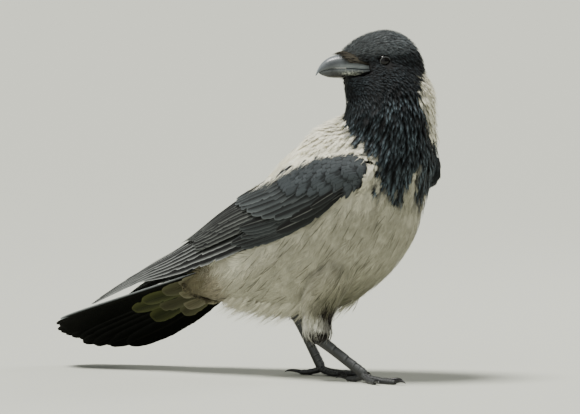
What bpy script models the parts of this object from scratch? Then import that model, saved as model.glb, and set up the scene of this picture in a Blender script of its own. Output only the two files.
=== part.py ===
"""A hooded crow, life-size: it stands on both feet and looks back over its right shoulder.

The crow's own frame has +X along its heading, +Y to its left and +Z up, with the floor at Z = 0 and the
origin on the floor between its feet. Every table below is in millimetres in that frame, apart from the
head's and the bill's, which are in the head's frame. The finished model is moved at the end, so that the
scene's origin lies on the floor under the middle of its bounding box.
"""

import math

import bmesh
import bpy
import numpy as np
from mathutils import Matrix, Vector

MM = 0.001
GAP = 0.35  # between neighbouring pieces

# Trunk: (x, z, reach up, reach down, half width) of sections along the spine, from the neck to the vent.
TRUNK = (
    (47, 228, 34, 36, 37),
    (38, 209, 49, 51, 49),
    (24, 190, 60, 60, 55),
    (8, 168, 66, 70, 57),
    (-12, 147, 68, 73, 58),
    (-38, 127, 64, 70, 57),
    (-70, 110, 53, 56, 49),
    (-104, 99, 36, 40, 36),
    (-136, 90, 19, 24, 24),
    (-164, 82, 8, 10, 13),
)
# Neck: (x, y, z, half length along its long axis, half width, bearing of that axis in degrees).
NECK = (
    (40, 0, 190, 46, 46, 0),
    (43, 0, 212, 44, 44, -30),
    (46, -1, 233, 42, 41, -80),
    (48, -1.5, 251, 41, 35, -122),
    (45, -3, 267, 39, 31, -136),
    (44, -4, 281, 31, 23, -136),
)
# Head frame: x forward along the gape, y to the head's left, z up, origin between the eyes.
HEAD_AT = Vector((39.0, -6.5, 287.0))
HEAD_BEARING = -136.0
HEAD_PITCH = 8.0
# Head: (x, top, bottom, half width), from the forehead to the nape.
HEAD = (
    (38, 10.5, -10.0, 7.5),
    (35, 14.0, -15.0, 9.5),
    (29, 18.4, -21.0, 11.2),
    (22, 22.2, -25.0, 13.4),
    (12, 25.6, -27.0, 16.6),
    (2, 27.5, -28.0, 18.8),
    (-8, 27.4, -29.0, 20.5),
    (-18, 24.4, -29.0, 21.0),
    (-27, 18.0, -27.0, 19.0),
    (-34, 8.0, -23.0, 14.5),
    (-38, -3.0, -19.0, 8.0),
)
EYE_RADIUS = 7.0
EYE_AT = Vector((0.0, 13.5, 0.0))
# Bill: (x, ridge, edge, half width) of the upper half, and (x, edge, keel, half width) of the lower.
BILL_UPPER = (
    (14, 4.0, -5.2, 12.5),
    (20, 9.0, -4.2, 12.4),
    (28, 11.2, -2.2, 11.2),
    (37, 11.2, -0.7, 9.4),
    (43.8, 10.3, 0.1, 7.4),
    (49.3, 8.3, 0.1, 5.6),
    (54.1, 5.0, -0.7, 3.9),
    (57.7, 0.9, -2.0, 2.2),
    (60.2, -3.4, -4.6, 0.7),
)
BILL_LOWER = (
    (14, -5.8, -12.0, 12.0),
    (20, -4.8, -12.0, 11.6),
    (28, -2.8, -11.2, 10.2),
    (37, -1.3, -10.0, 8.2),
    (43.8, -0.5, -8.9, 6.3),
    (49.3, -0.5, -7.5, 4.6),
    (54.1, -1.3, -5.2, 2.8),
    (56.8, -2.2, -3.2, 1.0),
)
# A tuft of pale feathers low on the belly: (x, y, z, radius).
BELLY_TUFT = ((10.4, 14, 102, 18), (2.4, 18, 90, 14), (-2, 20, 80, 10), (-9, 20, 72, 7), (-15, 20, 66.5, 4.5))
# Thighs: (x, y, z, radius) from the knee inside the belly down past the heel. The crow is in mid-step,
# right foot first.
THIGHS = {
    "right": (
        (14, -26, 114, 10),
        (8, -31, 101, 19),
        (-2, -34, 83, 17.5),
        (-8, -35, 67, 15.5),
        (-9.5, -35, 55, 13.5),
        (-9.5, -32.5, 47, 11.5),
        (-11, -30, 40, 9.5),
        (-11, -30, 33, 8.5),
    ),
    "left": (
        (-22, 23, 112, 10),
        (-30, 28, 98, 18),
        (-44, 29, 81, 15),
        (-56, 28, 68, 11),
        (-64, 27, 60, 8.5),
        (-66, 27, 51, 7),
    ),
}
# Legs: the heel, the foot's own joint and the foot's bearing.
HEELS = {"right": Vector((-12.5, -28, 38.5)), "left": Vector((-66, 27, 54))}
FEET = {"right": Vector((33.5, -27, 8)), "left": Vector((-38, 23, 8))}
FOOT_BEARING = {"right": -12.0, "left": 6.0}
# Toes: (name, bearing from the foot's on its inner side, length, claw length).
TOES = (("inner", 27, 26, 10), ("middle", 0, 38, 11), ("outer", -27, 28, 9), ("hind", 176, 20, 14))
TOE_RADIUS = 2.7
TOE_LIFT = 1.8  # height of a toe's middle line, so that its pad is cut to a flat on the floor
TARSUS_CUT = 11.0  # height of the joint between tarsus and toes

# Wing surface of the right wing: (x, y and z of the lower edge, y and z of the upper edge, bulge).
WING = (
    (60, -54, 185, -52, 197, 1),
    (34, -62, 167, -50, 205, 6),
    (0, -64, 146, -50.5, 200, 8),
    (-40, -61, 131, -42, 186, 8),
    (-80, -53, 119, -21, 172, 10),
    (-120, -45, 107, -5, 154, 8),
    (-166, -38, 95, -4, 121, 5),
    (-205, -33, 84.5, -21, 95, 2),
    (-258, -30, 60.0, -28.5, 62.0, 0),
)
LEFT_WRIST_FORWARD = 11.0  # the left wing lies further forward, as the trunk turns
LEFT_TIP_UP = 1.0

# Tail: a fan from a point under the rump, sloping down to the rear, its right side rolled up.
TAIL_AT = Vector((-99, 4.7, 96.3))
TAIL_SLOPE = 20.0
TAIL_ROLL = 32.0
TAIL_FEATHERS = 12
TAIL_THICKNESS = 1.6
UNDERTAIL_LENGTH = 128.0

COLOURS = {
    "black": ((0.012, 0.013, 0.015), 0.45),
    "grey": ((0.42, 0.40, 0.34), 0.80),
    "slate": ((0.045, 0.050, 0.056), 0.50),
    "bill": ((0.035, 0.038, 0.042), 0.25),
    "eye": ((0.010, 0.006, 0.004), 0.05),
    "leg": ((0.022, 0.022, 0.024), 0.45),
    "claw": ((0.012, 0.012, 0.013), 0.30),
}


def material(name):
    """The named finish, made once and shared by all that wear it."""
    made = bpy.data.materials.get(name)
    if made:
        return made
    colour, roughness = COLOURS[name]
    made = bpy.data.materials.new(name)
    made.use_nodes = True
    shader = made.node_tree.nodes["Principled BSDF"]
    shader.inputs["Base Color"].default_value = (*colour, 1.0)
    shader.inputs["Roughness"].default_value = roughness
    return made


def add_object(name, mesh, finish, smooth_below=50.0):
    """A named object in the scene, shaded smooth except over its sharp edges."""
    obj = bpy.data.objects.new(name, mesh)
    bpy.context.scene.collection.objects.link(obj)
    mesh.materials.clear()
    mesh.materials.append(material(finish))
    mesh.shade_smooth()
    mesh.set_sharp_from_angle(angle=math.radians(smooth_below))
    return obj


def mesh_from(name, points, faces):
    """A mesh in metres from points in millimetres, its faces turned outwards."""
    mesh = bpy.data.meshes.new(name)
    mesh.from_pydata([Vector(p) * MM for p in points], [], faces)
    bm = bmesh.new()
    bm.from_mesh(mesh)
    bmesh.ops.recalc_face_normals(bm, faces=bm.faces)
    bm.to_mesh(mesh)
    bm.free()
    return mesh


def curve(a, b, c, d, t):
    """The point at share t from b to c on the smooth curve through four points."""
    return 0.5 * (2 * b + (c - a) * t + (2 * a - 5 * b + 4 * c - d) * t**2 + (3 * b - 3 * c + d - a) * t**3)


def between(table, count):
    """count rows on a smooth curve through the table's rows, evenly spaced in row number."""
    rows = np.array(table, float)
    padded = np.vstack([2 * rows[0] - rows[1], rows, 2 * rows[-1] - rows[-2]])
    out = []
    for at in np.linspace(0, len(rows) - 1, count):
        i = min(int(at), len(rows) - 2)
        t = at - i
        out.append(curve(*padded[i : i + 4], t))
    return np.array(out)


def row_at(table, x):
    """The table's row at x, its first column, on a smooth curve. x falls down the table."""
    rows = np.array(table, float)
    keys = rows[:, 0]
    i = int(np.clip(np.searchsorted(-keys, -x) - 1, 0, len(rows) - 2))
    t = float(np.clip((x - keys[i]) / (keys[i + 1] - keys[i]), 0, 1))
    padded = np.vstack([2 * rows[0] - rows[1], rows, 2 * rows[-1] - rows[-2]])
    return curve(*padded[i : i + 4, 1:], t).tolist()


def loft(name, rings):
    """A closed skin over rings with the same number of points, each end closed by a flat cap."""
    size = len(rings[0])
    points = [p for one in rings for p in one]
    faces = [tuple(reversed(range(size))), tuple(range((len(rings) - 1) * size, len(rings) * size))]
    for r in range(len(rings) - 1):
        for k in range(size):
            a, b = r * size + k, r * size + (k + 1) % size
            faces.append((a, b, b + size, a + size))
    return mesh_from(name, points, faces)


def tube(name, rows, sides, flatten=1.0):
    """A loft of rounds: each row is (x, y, z, radius). flatten scales them sideways."""
    rows = np.array(rows, float)
    rings = []
    for i, (x, y, z, radius) in enumerate(rows.tolist()):
        at = Vector((x, y, z))
        ahead = rows[min(i + 1, len(rows) - 1), :3] - rows[max(i - 1, 0), :3]
        along = Vector(ahead).normalized()
        side = along.cross(Vector((0, 0, 1)))
        side = side.normalized() if side.length > 0.05 else Vector((0, 1, 0))
        up = side.cross(along)
        turns = (2 * math.pi * k / sides for k in range(sides))
        rings.append([at + radius * (side * flatten * math.cos(t) + up * math.sin(t)) for t in turns])
    return loft(name, rings)


def trunk_mesh(rings=22, sides=28):
    """Breast, back and belly: sections square to the spine, fuller below than above."""
    rows = between(TRUNK, rings)
    made = []
    for i, (x, z, up, down, half) in enumerate(rows.tolist()):
        ahead = rows[min(i + 1, rings - 1), :2] - rows[max(i - 1, 0), :2]
        along = Vector((ahead[0], 0, ahead[1])).normalized()
        normal = Vector((along.z, 0, -along.x)) * (1 if -along.x > 0 else -1)
        ring = []
        for k in range(sides):
            turn = 2 * math.pi * k / sides
            reach = up if math.sin(turn) > 0 else down
            ring.append(Vector((x, half * math.cos(turn), z)) + normal * reach * math.sin(turn))
        made.append(ring)
    return loft("trunk_form", made)


def neck_mesh(rings=12, sides=24):
    """A column whose long axis turns from the trunk's heading to the head's."""
    made = []
    for x, y, z, along, across, bearing in between(NECK, rings).tolist():
        turn_to = math.radians(bearing)
        ring = []
        for k in range(sides):
            turn = 2 * math.pi * k / sides - turn_to
            local = Vector((along * math.cos(turn), across * math.sin(turn), 0))
            ring.append(Vector((x, y, z)) + Matrix.Rotation(turn_to, 3, "Z") @ local)
        made.append(ring)
    return loft("neck_form", made)


def head_matrix():
    """From the head's frame to the crow's: turned back over the right shoulder and dipped."""
    turn = Matrix.Rotation(math.radians(HEAD_BEARING), 4, "Z")
    dip = Matrix.Rotation(math.radians(HEAD_PITCH), 4, "Y")
    return Matrix.Translation(HEAD_AT) @ turn @ dip


def head_mesh(rings=16, sides=20):
    """Skull with its plumage, in the crow's frame."""
    made = []
    for x, top, bottom, half in between(HEAD, rings).tolist():
        middle, reach = (top + bottom) / 2, (top - bottom) / 2
        ring = []
        for k in range(sides):
            turn = 2 * math.pi * k / sides
            ring.append(head_matrix() @ Vector((x, half * math.cos(turn), middle + reach * math.sin(turn))))
        made.append(ring)
    return loft("head_form", made)


def bill_mesh(table, upwards, grow=0.0, rings=11, steps=7):
    """One half of the bill: an arch over a flat edge, in the crow's frame."""
    made = []
    for i, (x, first, second, half) in enumerate(between(table, rings).tolist()):
        x -= grow * 2 if i == 0 else 0.0
        edge, crest = (second, first) if upwards else (first, second)
        outwards = grow if upwards else -grow
        edge, crest = edge - outwards, crest + outwards
        ring = []
        for k in range(steps + 1):
            turn = math.pi * k / steps
            height = math.sin(turn) ** 0.75
            across = (half + grow) * math.cos(turn)
            ring.append(head_matrix() @ Vector((x, across, edge + (crest - edge) * height)))
        made.append(ring)
    return loft("bill", made)


def eye_mesh(side, radius):
    """An eyeball on its own side of the head."""
    bm = bmesh.new()
    at = head_matrix() @ Vector((EYE_AT.x, EYE_AT.y * side, EYE_AT.z))
    bmesh.ops.create_uvsphere(
        bm, u_segments=10, v_segments=7, radius=radius * MM, matrix=Matrix.Translation(at * MM)
    )
    mesh = bpy.data.meshes.new("eye")
    bm.to_mesh(mesh)
    bm.free()
    return mesh


def one_form(name, meshes, voxel, smoothing, triangles):
    """One smooth closed mesh of the shapes' union, with about so many triangles."""
    bm = bmesh.new()
    for mesh in meshes:
        bm.from_mesh(mesh)
    joined = bpy.data.meshes.new(name)
    bm.to_mesh(joined)
    bm.free()
    obj = bpy.data.objects.new(name, joined)
    bpy.context.scene.collection.objects.link(obj)
    remesh = obj.modifiers.new("Union", "REMESH")
    remesh.mode = "VOXEL"
    remesh.voxel_size = voxel * MM
    relax = obj.modifiers.new("Blend", "SMOOTH")
    relax.factor = 0.5
    relax.iterations = smoothing
    bpy.context.view_layer.update()
    merged = obj.evaluated_get(bpy.context.evaluated_depsgraph_get())
    count = sum(len(p.vertices) - 2 for p in merged.data.polygons)
    thin = obj.modifiers.new("Thin", "DECIMATE")
    thin.ratio = min(1.0, triangles / count)
    bpy.context.view_layer.update()
    made = bpy.data.meshes.new_from_object(obj.evaluated_get(bpy.context.evaluated_depsgraph_get()))
    bpy.data.objects.remove(obj)
    return made


def kept(mesh, planes):
    """A copy of the mesh, cut by planes (point in mm, normal) and closed again.

    The side that the normals point to stays.
    """
    bm = bmesh.new()
    bm.from_mesh(mesh)
    for point, normal in planes:
        cut = bmesh.ops.bisect_plane(
            bm,
            geom=[*bm.verts, *bm.edges, *bm.faces],
            dist=1e-7,
            plane_co=Vector(point) * MM,
            plane_no=Vector(normal).normalized(),
            clear_inner=True,
        )
        edges = [e for e in cut["geom_cut"] if isinstance(e, bmesh.types.BMEdge)]
        bmesh.ops.edgenet_fill(bm, edges=edges)
    bmesh.ops.triangulate(bm, faces=bm.faces)
    bmesh.ops.recalc_face_normals(bm, faces=bm.faces)
    out = bpy.data.meshes.new("kept")
    bm.to_mesh(out)
    bm.free()
    return out


def split_planes(point, normal):
    """The same plane for the two pieces on its sides, moved apart by the gap."""
    normal = Vector(normal).normalized()
    point = Vector(point)
    return (point + normal * GAP / 2, normal), (point - normal * GAP / 2, -normal)


def grown(mesh, by):
    """A copy of the mesh, pushed outwards by so many millimetres."""
    bm = bmesh.new()
    bm.from_mesh(mesh)
    bm.normal_update()
    for v, normal in [(v, v.normal.copy()) for v in bm.verts]:
        v.co += normal * by * MM
    out = bpy.data.meshes.new("grown")
    bm.to_mesh(out)
    bm.free()
    return out


def cut_away(obj, cutter_mesh, name):
    """Subtracts a hidden cutter from obj."""
    cutter = bpy.data.objects.new(name, cutter_mesh)
    bpy.context.scene.collection.objects.link(cutter)
    cutter.hide_render = True
    cutter.display_type = "WIRE"
    boolean = obj.modifiers.new(name, "BOOLEAN")
    boolean.operation = "DIFFERENCE"
    boolean.solver = "EXACT"
    boolean.object = cutter
    return cutter


def plate_mesh(outer, inner):
    """A closed plate between two grids of points, each grid a list of columns."""
    columns, rows = len(outer), len(outer[0])
    points = [p for grid in (outer, inner) for column in grid for p in column]

    def at(grid, c, r):
        return grid * columns * rows + c * rows + r

    faces = []
    for c in range(columns - 1):
        for r in range(rows - 1):
            faces.append((at(0, c, r), at(0, c + 1, r), at(0, c + 1, r + 1), at(0, c, r + 1)))
            faces.append((at(1, c, r), at(1, c, r + 1), at(1, c + 1, r + 1), at(1, c + 1, r)))
    for c in range(columns - 1):
        for r in (0, rows - 1):
            faces.append((at(0, c, r), at(0, c + 1, r), at(1, c + 1, r), at(1, c, r)))
    for r in range(rows - 1):
        for c in (0, columns - 1):
            faces.append((at(0, c, r), at(0, c, r + 1), at(1, c, r + 1), at(1, c, r)))
    return mesh_from("plate", points, faces)


def wing_point(side, x, across, height):
    """A point on a wing: x along the crow, across from its lower edge (0) to its upper one (1)."""

    def on_surface(x, across):
        low_y, low_z, top_y, top_z, bulge = row_at(WING, x)
        chord = Vector((0, top_y - low_y, top_z - low_z))
        out = Vector((0, -chord.z, chord.y)).normalized()
        return Vector((x, low_y, low_z)) + chord * across + out * bulge * math.sin(math.pi * across)

    at = on_surface(x, across)
    along = on_surface(x - 2, across) - on_surface(x + 2, across)
    over = on_surface(x, across + 0.02) - on_surface(x, across - 0.02)
    at += over.cross(along).normalized() * height
    if side == "left":
        share = (x - WING[-1][0]) / (WING[0][0] - WING[-1][0])
        at = Vector((at.x + LEFT_WRIST_FORWARD * share, -at.y, at.z + LEFT_TIP_UP * (1 - share)))
    return at


def feather_columns(count, low, high):
    """(place across the wing, share across its own feather) for three columns on each feather."""
    width = (high - low) / count
    return [(low + width * (i + share), share) for i in range(count) for share in (0.02, 0.5, 0.98)]


def feather_plate(side, count, low, high, root, tip, outside, thick, rows=8, tip_round=7.0, ridge=0.5):
    """A layer of feathers side by side: root and tip give their ends' x by the place across."""
    outer, inner = [], []
    for across, share in feather_columns(count, low, high):
        start = root(across)
        end = tip(across) + tip_round * (2 * share - 1) ** 2
        lift = ridge * (share - 0.5)
        places = [start + (end - start) * r / (rows - 1) for r in range(rows)]
        outer.append([wing_point(side, x, across, outside + lift) for x in places])
        inner.append([wing_point(side, x, across, outside + lift - thick) for x in places])
    return plate_mesh(outer, inner)


def slope(*knots):
    """A function that runs straight between (place, value) knots."""
    places, values = zip(*knots)
    return lambda at: float(np.interp(at, places, values))


TAIL_RIGHT = slope((0.0, 29.0), (190.0, 42.0))
TAIL_LEFT = slope((0.0, 7.0), (90.0, 34.0), (120.0, 40.5), (152.0, 42.0))
TAIL_TIPS = slope(
    (-1.0, 164.0),
    (-0.62, 200.0),
    (-0.43, 208.0),
    (0.0, 213.0),
    (0.38, 215.0),
    (0.8, 202.0),
    (1.0, 190.0),
)
COVERT_EDGE = slope((0.0, 30.0), (0.28, 28.0), (0.6, -24.0), (1.0, -46.0))
PRIMARY_TIPS = slope(
    (0.0, -200.0),
    (0.12, -243.0),
    (0.3, -257.0),
    (0.6, -246.0),
    (0.8, -226.0),
    (1.0, -190.0),
)
SECONDARY_TIPS = slope((0.3, -138.0), (0.6, -152.0), (0.85, -168.0), (1.0, -160.0))
GREATER_TIPS = slope((0.3, -52.0), (0.6, -80.0), (0.9, -104.0), (1.0, -98.0))
ALULA_TIPS = slope((0.0, -30.0), (0.2, -38.0))
PRIMARY_COVERT_TIPS = slope((0.0, -82.0), (0.29, -98.0))


def arm_depth(x, across):
    """How far the forearm reaches into the trunk."""
    rim = math.sin(math.pi * min(max(across, 0.0), 1.0)) ** 0.5
    return 1.5 + 10.0 * rim * max(math.sin(math.pi * min(max((60 - x) / 58, 0.0), 1.0)), 0.0) ** 0.8


def arm_mesh(side, columns=9, rows=7):
    """Wrist and forearm under their small coverts: thick in front, a thin edge behind."""
    outer, inner = [], []
    for c in range(columns):
        across = 0.01 + 0.98 * c / (columns - 1)
        rim = math.sin(math.pi * across) ** 0.5
        start, end = 59.0, COVERT_EDGE(across)
        column_out, column_in = [], []
        for r in range(rows):
            share = r / (rows - 1)
            x = start + (end - start) * share
            swell = rim * math.sin(math.pi * min(share * 2.2, 1.0) / 2) ** 0.6 * (1 - share) ** 0.3
            column_out.append(wing_point(side, x, across, 3.4 * swell * (1 - share)))
            column_in.append(wing_point(side, x, across, -arm_depth(x, across)))
        outer.append(column_out)
        inner.append(column_in)
    return plate_mesh(outer, inner)


def covert_root(across):
    """Where the feathers behind the arm begin, just under its edge."""
    return COVERT_EDGE(across) - 3.0


def quill_root(across):
    """Where the flight feathers begin, well under the coverts."""
    return -44.0


def wrist_root(across):
    """Where the primary coverts begin, under the alula."""
    return -2.0


def wing_layers(side):
    """(name, mesh, finish) of each group of feathers on one wing, outermost first."""
    layers = [(f"wing_{side}_arm", arm_mesh(side), "slate")]
    for name, count, low, high, root, tip, outside, thick, rows, tip_round in (
        ("alula", 2, 0.0, 0.2, covert_root, ALULA_TIPS, -0.3, 1.2, 4, 7.0),
        ("greater_coverts", 5, 0.3, 1.0, covert_root, GREATER_TIPS, -0.4, 1.2, 4, 7.0),
        ("primary_coverts", 3, 0.0, 0.29, wrist_root, PRIMARY_COVERT_TIPS, -2.2, 1.2, 4, 7.0),
        ("secondaries", 5, 0.3, 1.0, quill_root, SECONDARY_TIPS, -2.4, 1.2, 5, 7.0),
        ("primaries", 7, 0.0, 1.0, quill_root, PRIMARY_TIPS, -5.3, 1.3, 5, 10.0),
    ):
        plate = feather_plate(side, count, low, high, root, tip, outside, thick, rows, tip_round)
        layers.append((f"wing_{side}_{name}", plate, "slate"))
    return layers


def wing_cutter(side, columns=8):
    """The room that a folded wing takes in the trunk's side, open to the outside."""
    outer, inner = [], []
    for c in range(columns):
        across = -0.03 + 1.06 * c / (columns - 1)
        places = (60.8, 56, 49, 40, 31, 22, 12, 0, -40, -80, -125, -172)
        outer.append([wing_point(side, x, across, 26.0) for x in places])
        depths = [max(arm_depth(x, across) + 1.5, 8.4 if x < 10 else 0) for x in places]
        inner.append([wing_point(side, x, across, -depth) for x, depth in zip(places, depths)])
    return plate_mesh(outer, inner)


def tail_matrix():
    """From the tail's frame (x to the rear, y to the crow's right, z up) to the crow's."""
    turn = Matrix.Rotation(math.pi, 4, "Z")
    dip = Matrix.Rotation(math.radians(TAIL_SLOPE), 4, "Y")
    roll = Matrix.Rotation(math.radians(TAIL_ROLL), 4, "X")
    return Matrix.Translation(TAIL_AT) @ turn @ dip @ roll


def tail_point(along, across, height):
    """A point on the tail: along it from its root, across from its left edge (-1) to its right (1)."""
    side = TAIL_RIGHT(along) if across > 0 else TAIL_LEFT(along)
    return tail_matrix() @ Vector((along, side * across, height + 3.0 - 7.0 * across**2))


def tail_mesh(rows=4):
    """Twelve tail feathers side by side, the middle pair highest and longest."""
    outer, inner = [], []
    for across, share in feather_columns(TAIL_FEATHERS, -1.0, 1.0):
        length = TAIL_TIPS(across) - 5.0 * (2 * share - 1) ** 2
        step = 0.5 * (0.5 - share) * (1 if across > 0 else -1)
        places = [length * r / (rows - 1) for r in range(rows)]
        outer.append([tail_point(at, across, step + TAIL_THICKNESS / 2) for at in places])
        inner.append([tail_point(at, across, step - TAIL_THICKNESS / 2) for at in places])
    return plate_mesh(outer, inner)


def tail_room(columns=9, rows=6):
    """The slot that the tail's root takes in the trunk."""
    outer, inner = [], []
    for c in range(columns):
        across = 1.1 * (2 * c / (columns - 1) - 1)
        places = [-1.0 + 130.0 * r / (rows - 1) for r in range(rows)]
        outer.append([tail_point(at, across, TAIL_THICKNESS / 2 + 0.9) for at in places])
        inner.append([tail_point(at, across, -TAIL_THICKNESS / 2 - 0.9) for at in places])
    return plate_mesh(outer, inner)


def undertail_mesh(grow=0.0, columns=9, rows=6):
    """The soft feathers under the tail's root: thick at the vent and thin at their rounded end."""
    outer, inner = [], []
    for c in range(columns):
        across = -0.62 + 1.16 * c / (columns - 1)
        inwards = math.sin(math.pi * c / (columns - 1))
        length = UNDERTAIL_LENGTH - 34.0 * (1 - inwards) + grow
        top, under = [], []
        for r in range(rows):
            at = 4.0 - grow + (length - 4.0 + grow) * r / (rows - 1)
            depth = 1.2 + 11.0 * (0.35 + 0.65 * inwards) * (1 - at / (UNDERTAIL_LENGTH + 2 + grow)) ** 0.8
            wide = across * (1 + grow / 20)
            top.append(tail_point(at, wide, -TAIL_THICKNESS / 2 - (0.6 if grow == 0 else -0.4)))
            under.append(tail_point(at, wide, -TAIL_THICKNESS / 2 - 0.6 - depth - grow))
        outer.append(top)
        inner.append(under)
    return plate_mesh(outer, inner)


def foot_direction(side, bearing):
    """A level direction at a bearing from the foot's own, the inner side being the other foot's."""
    inwards = 1 if side == "right" else -1
    turn = math.radians(FOOT_BEARING[side] + inwards * bearing)
    return Vector((math.cos(turn), math.sin(turn), 0))


# A toe's pads and knuckles: (share of its length, lift, share of its radius).
TOE_SHAPE = (
    (0, 4.6, 1.25),
    (0.16, 2.6, 1.1),
    (0.4, 1.2, 0.98),
    (0.52, 0.5, 1.1),
    (0.66, 0.1, 0.92),
    (0.8, 0, 1.0),
    (1, 0.2, 0.72),
)
# The shank from above the heel to inside the foot: (share of its length, radius).
SHANK = (
    (-0.06, 3.2),
    (0.0, 5.0),
    (0.1, 4.3),
    (0.3, 3.7),
    (0.7, 3.5),
    (0.9, 3.8),
    (1.0, 4.2),
    (1.05, 3.0),
)


def toe_rows(side, bearing, length):
    """(x, y, z, radius) down a toe: knuckles over its pads, flat along the floor."""
    start = Vector((FEET[side].x, FEET[side].y, 0))
    ahead = foot_direction(side, bearing)
    rows = []
    for share, lift, swell in TOE_SHAPE:
        at = start + ahead * length * share
        rows.append((at.x, at.y, TOE_LIFT + lift, TOE_RADIUS * swell))
    return rows


def leg_mesh(side):
    """Tarsus and toes in one: a flattened shank with a knob at each end, and four toes."""
    heel, foot = HEELS[side], FEET[side]
    rows = []
    for share, radius in SHANK:
        at = heel.lerp(foot, share)
        rows.append((at.x, at.y, at.z, radius))
    shapes = [tube("shank", rows, 12, flatten=0.7)]
    shapes += [tube("toe", toe_rows(side, bearing, length), 10) for _, bearing, length, _ in TOES]
    return one_form("leg_form", shapes, voxel=0.7, smoothing=2, triangles=340)


def heel_planes(side):
    """The level cut over the heel: first the thigh's side of it, then the shank's."""
    return split_planes(HEELS[side] + Vector((0, 0, 2)), (0, 0, 1))


def claw_mesh(side, bearing, length, claw, rings=4, sides=6):
    """A curved claw that comes out of the toe's end and dips to the floor."""
    *_, (x, y, z, radius) = toe_rows(side, bearing, length)
    ahead = foot_direction(side, bearing)
    start = Vector((x, y, z)) + ahead * (radius * 0.25 + 1.0)
    rows = []
    for r in range(rings):
        share = r / (rings - 1)
        at = start + ahead * claw * math.sin(share * 1.35)
        height = 1.6 * math.sin(math.pi * share * 0.75) - 2.1 * share**2
        rows.append((at.x, at.y, at.z + 0.3 + height, 1.75 * (1 - share) ** 0.8 + 0.28))
    return tube("claw", rows, sides)


def set_on_centre(objects):
    """Moves every object so that the origin is on the floor under the middle of the bounding box."""
    bpy.context.view_layer.update()
    corners = []
    for obj in objects:
        corners += [v.co for v in obj.data.vertices]
    low = Vector(min(c[i] for c in corners) for i in range(2))
    high = Vector(max(c[i] for c in corners) for i in range(2))
    middle = (low + high) / 2
    for obj in bpy.data.objects:
        obj.location -= Vector((middle.x, middle.y, 0))


def build_body():
    """Head, neck, trunk and thighs, modelled whole and parted with thin cuts."""
    tuft = tube("tuft", between(BELLY_TUFT, 9), 14)
    forms = [trunk_mesh(), neck_mesh(), head_mesh(), tuft]
    whole = one_form("body_form", forms, voxel=3.0, smoothing=7, triangles=1420)
    head_side, below_head = split_planes((46, -4, 263), Vector((-0.28, -0.27, 0.92)))
    neck_side, below_neck = split_planes((38, 0, 213), Vector((0.34, 0, 0.94)))
    pieces = [
        add_object("head", kept(whole, [head_side]), "black"),
        add_object("neck", kept(whole, [below_head, neck_side]), "black"),
        add_object("trunk", kept(whole, [below_neck]), "grey"),
    ]
    for side in THIGHS:
        form = one_form("thigh_form", [tube("thigh", between(THIGHS[side], 9), 14)], 1.6, 2, 200)
        pieces.append(add_object(f"thigh_{side}", kept(form, [heel_planes(side)[0]]), "grey"))
        cut_away(pieces[2], grown(form, 0.5), f"room_thigh_{side}")
    return {piece.name: piece for piece in pieces}


def main():
    for obj in list(bpy.data.objects):
        bpy.data.objects.remove(obj)
    body = build_body()
    made = list(body.values())
    made.append(add_object("bill_upper", bill_mesh(BILL_UPPER, True), "bill"))
    made.append(add_object("bill_lower", bill_mesh(BILL_LOWER, False), "bill"))
    cut_away(body["head"], bill_mesh(BILL_UPPER, True, GAP + 0.1), "room_bill_upper")
    cut_away(body["head"], bill_mesh(BILL_LOWER, False, GAP + 0.1), "room_bill_lower")
    for side, sign in (("left", 1), ("right", -1)):
        made.append(add_object(f"eye_{side}", eye_mesh(sign, EYE_RADIUS), "eye"))
        cut_away(body["head"], eye_mesh(sign, EYE_RADIUS + GAP), f"socket_{side}")
        made += [add_object(name, mesh, finish) for name, mesh, finish in wing_layers(side)]
        cut_away(body["trunk"], wing_cutter(side), f"room_wing_{side}")
        leg = leg_mesh(side)
        upper, lower = split_planes((0, 0, TARSUS_CUT), (0, 0, 1))
        made.append(add_object(f"tarsus_{side}", kept(leg, [heel_planes(side)[1], upper]), "leg"))
        made.append(add_object(f"foot_{side}", kept(leg, [lower, ((0, 0, 0), (0, 0, 1))]), "leg"))
        for toe, bearing, length, claw in TOES:
            made.append(add_object(f"claw_{side}_{toe}", claw_mesh(side, bearing, length, claw), "claw"))
    made.append(add_object("tail", tail_mesh(), "slate"))
    made.append(add_object("undertail_coverts", undertail_mesh(), "grey"))
    cut_away(body["trunk"], tail_room(), "room_tail")
    cut_away(body["trunk"], undertail_mesh(GAP), "room_undertail")
    set_on_centre(made)


main()
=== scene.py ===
"""Looks for a still, life-size hooded crow: one skin, a coat of feathers, wings, tail, bill, eyes and legs.

Lengths are in millimetres in the crow's own frame (+X its heading, +Y its left, +Z up, the floor at Z = 0)
until a mesh is made, when they become metres in the CAD's frame.
"""

import math
from itertools import product
from types import SimpleNamespace

import bpy
import numpy as np
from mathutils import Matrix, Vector
from mathutils.bvhtree import BVHTree


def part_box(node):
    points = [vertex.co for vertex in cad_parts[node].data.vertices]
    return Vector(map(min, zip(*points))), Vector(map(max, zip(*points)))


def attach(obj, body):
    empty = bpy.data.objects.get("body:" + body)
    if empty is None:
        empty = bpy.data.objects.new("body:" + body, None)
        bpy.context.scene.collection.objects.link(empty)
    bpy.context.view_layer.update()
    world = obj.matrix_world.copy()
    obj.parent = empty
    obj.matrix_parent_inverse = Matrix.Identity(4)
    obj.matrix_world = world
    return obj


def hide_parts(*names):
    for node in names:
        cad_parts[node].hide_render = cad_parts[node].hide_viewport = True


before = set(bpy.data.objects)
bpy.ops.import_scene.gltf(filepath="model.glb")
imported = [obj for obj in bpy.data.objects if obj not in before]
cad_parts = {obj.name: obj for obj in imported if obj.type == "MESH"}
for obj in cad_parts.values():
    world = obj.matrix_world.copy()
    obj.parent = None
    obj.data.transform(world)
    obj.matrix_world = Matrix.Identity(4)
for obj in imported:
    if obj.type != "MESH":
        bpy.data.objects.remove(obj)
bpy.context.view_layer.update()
RNG = np.random.default_rng(20)

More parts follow.
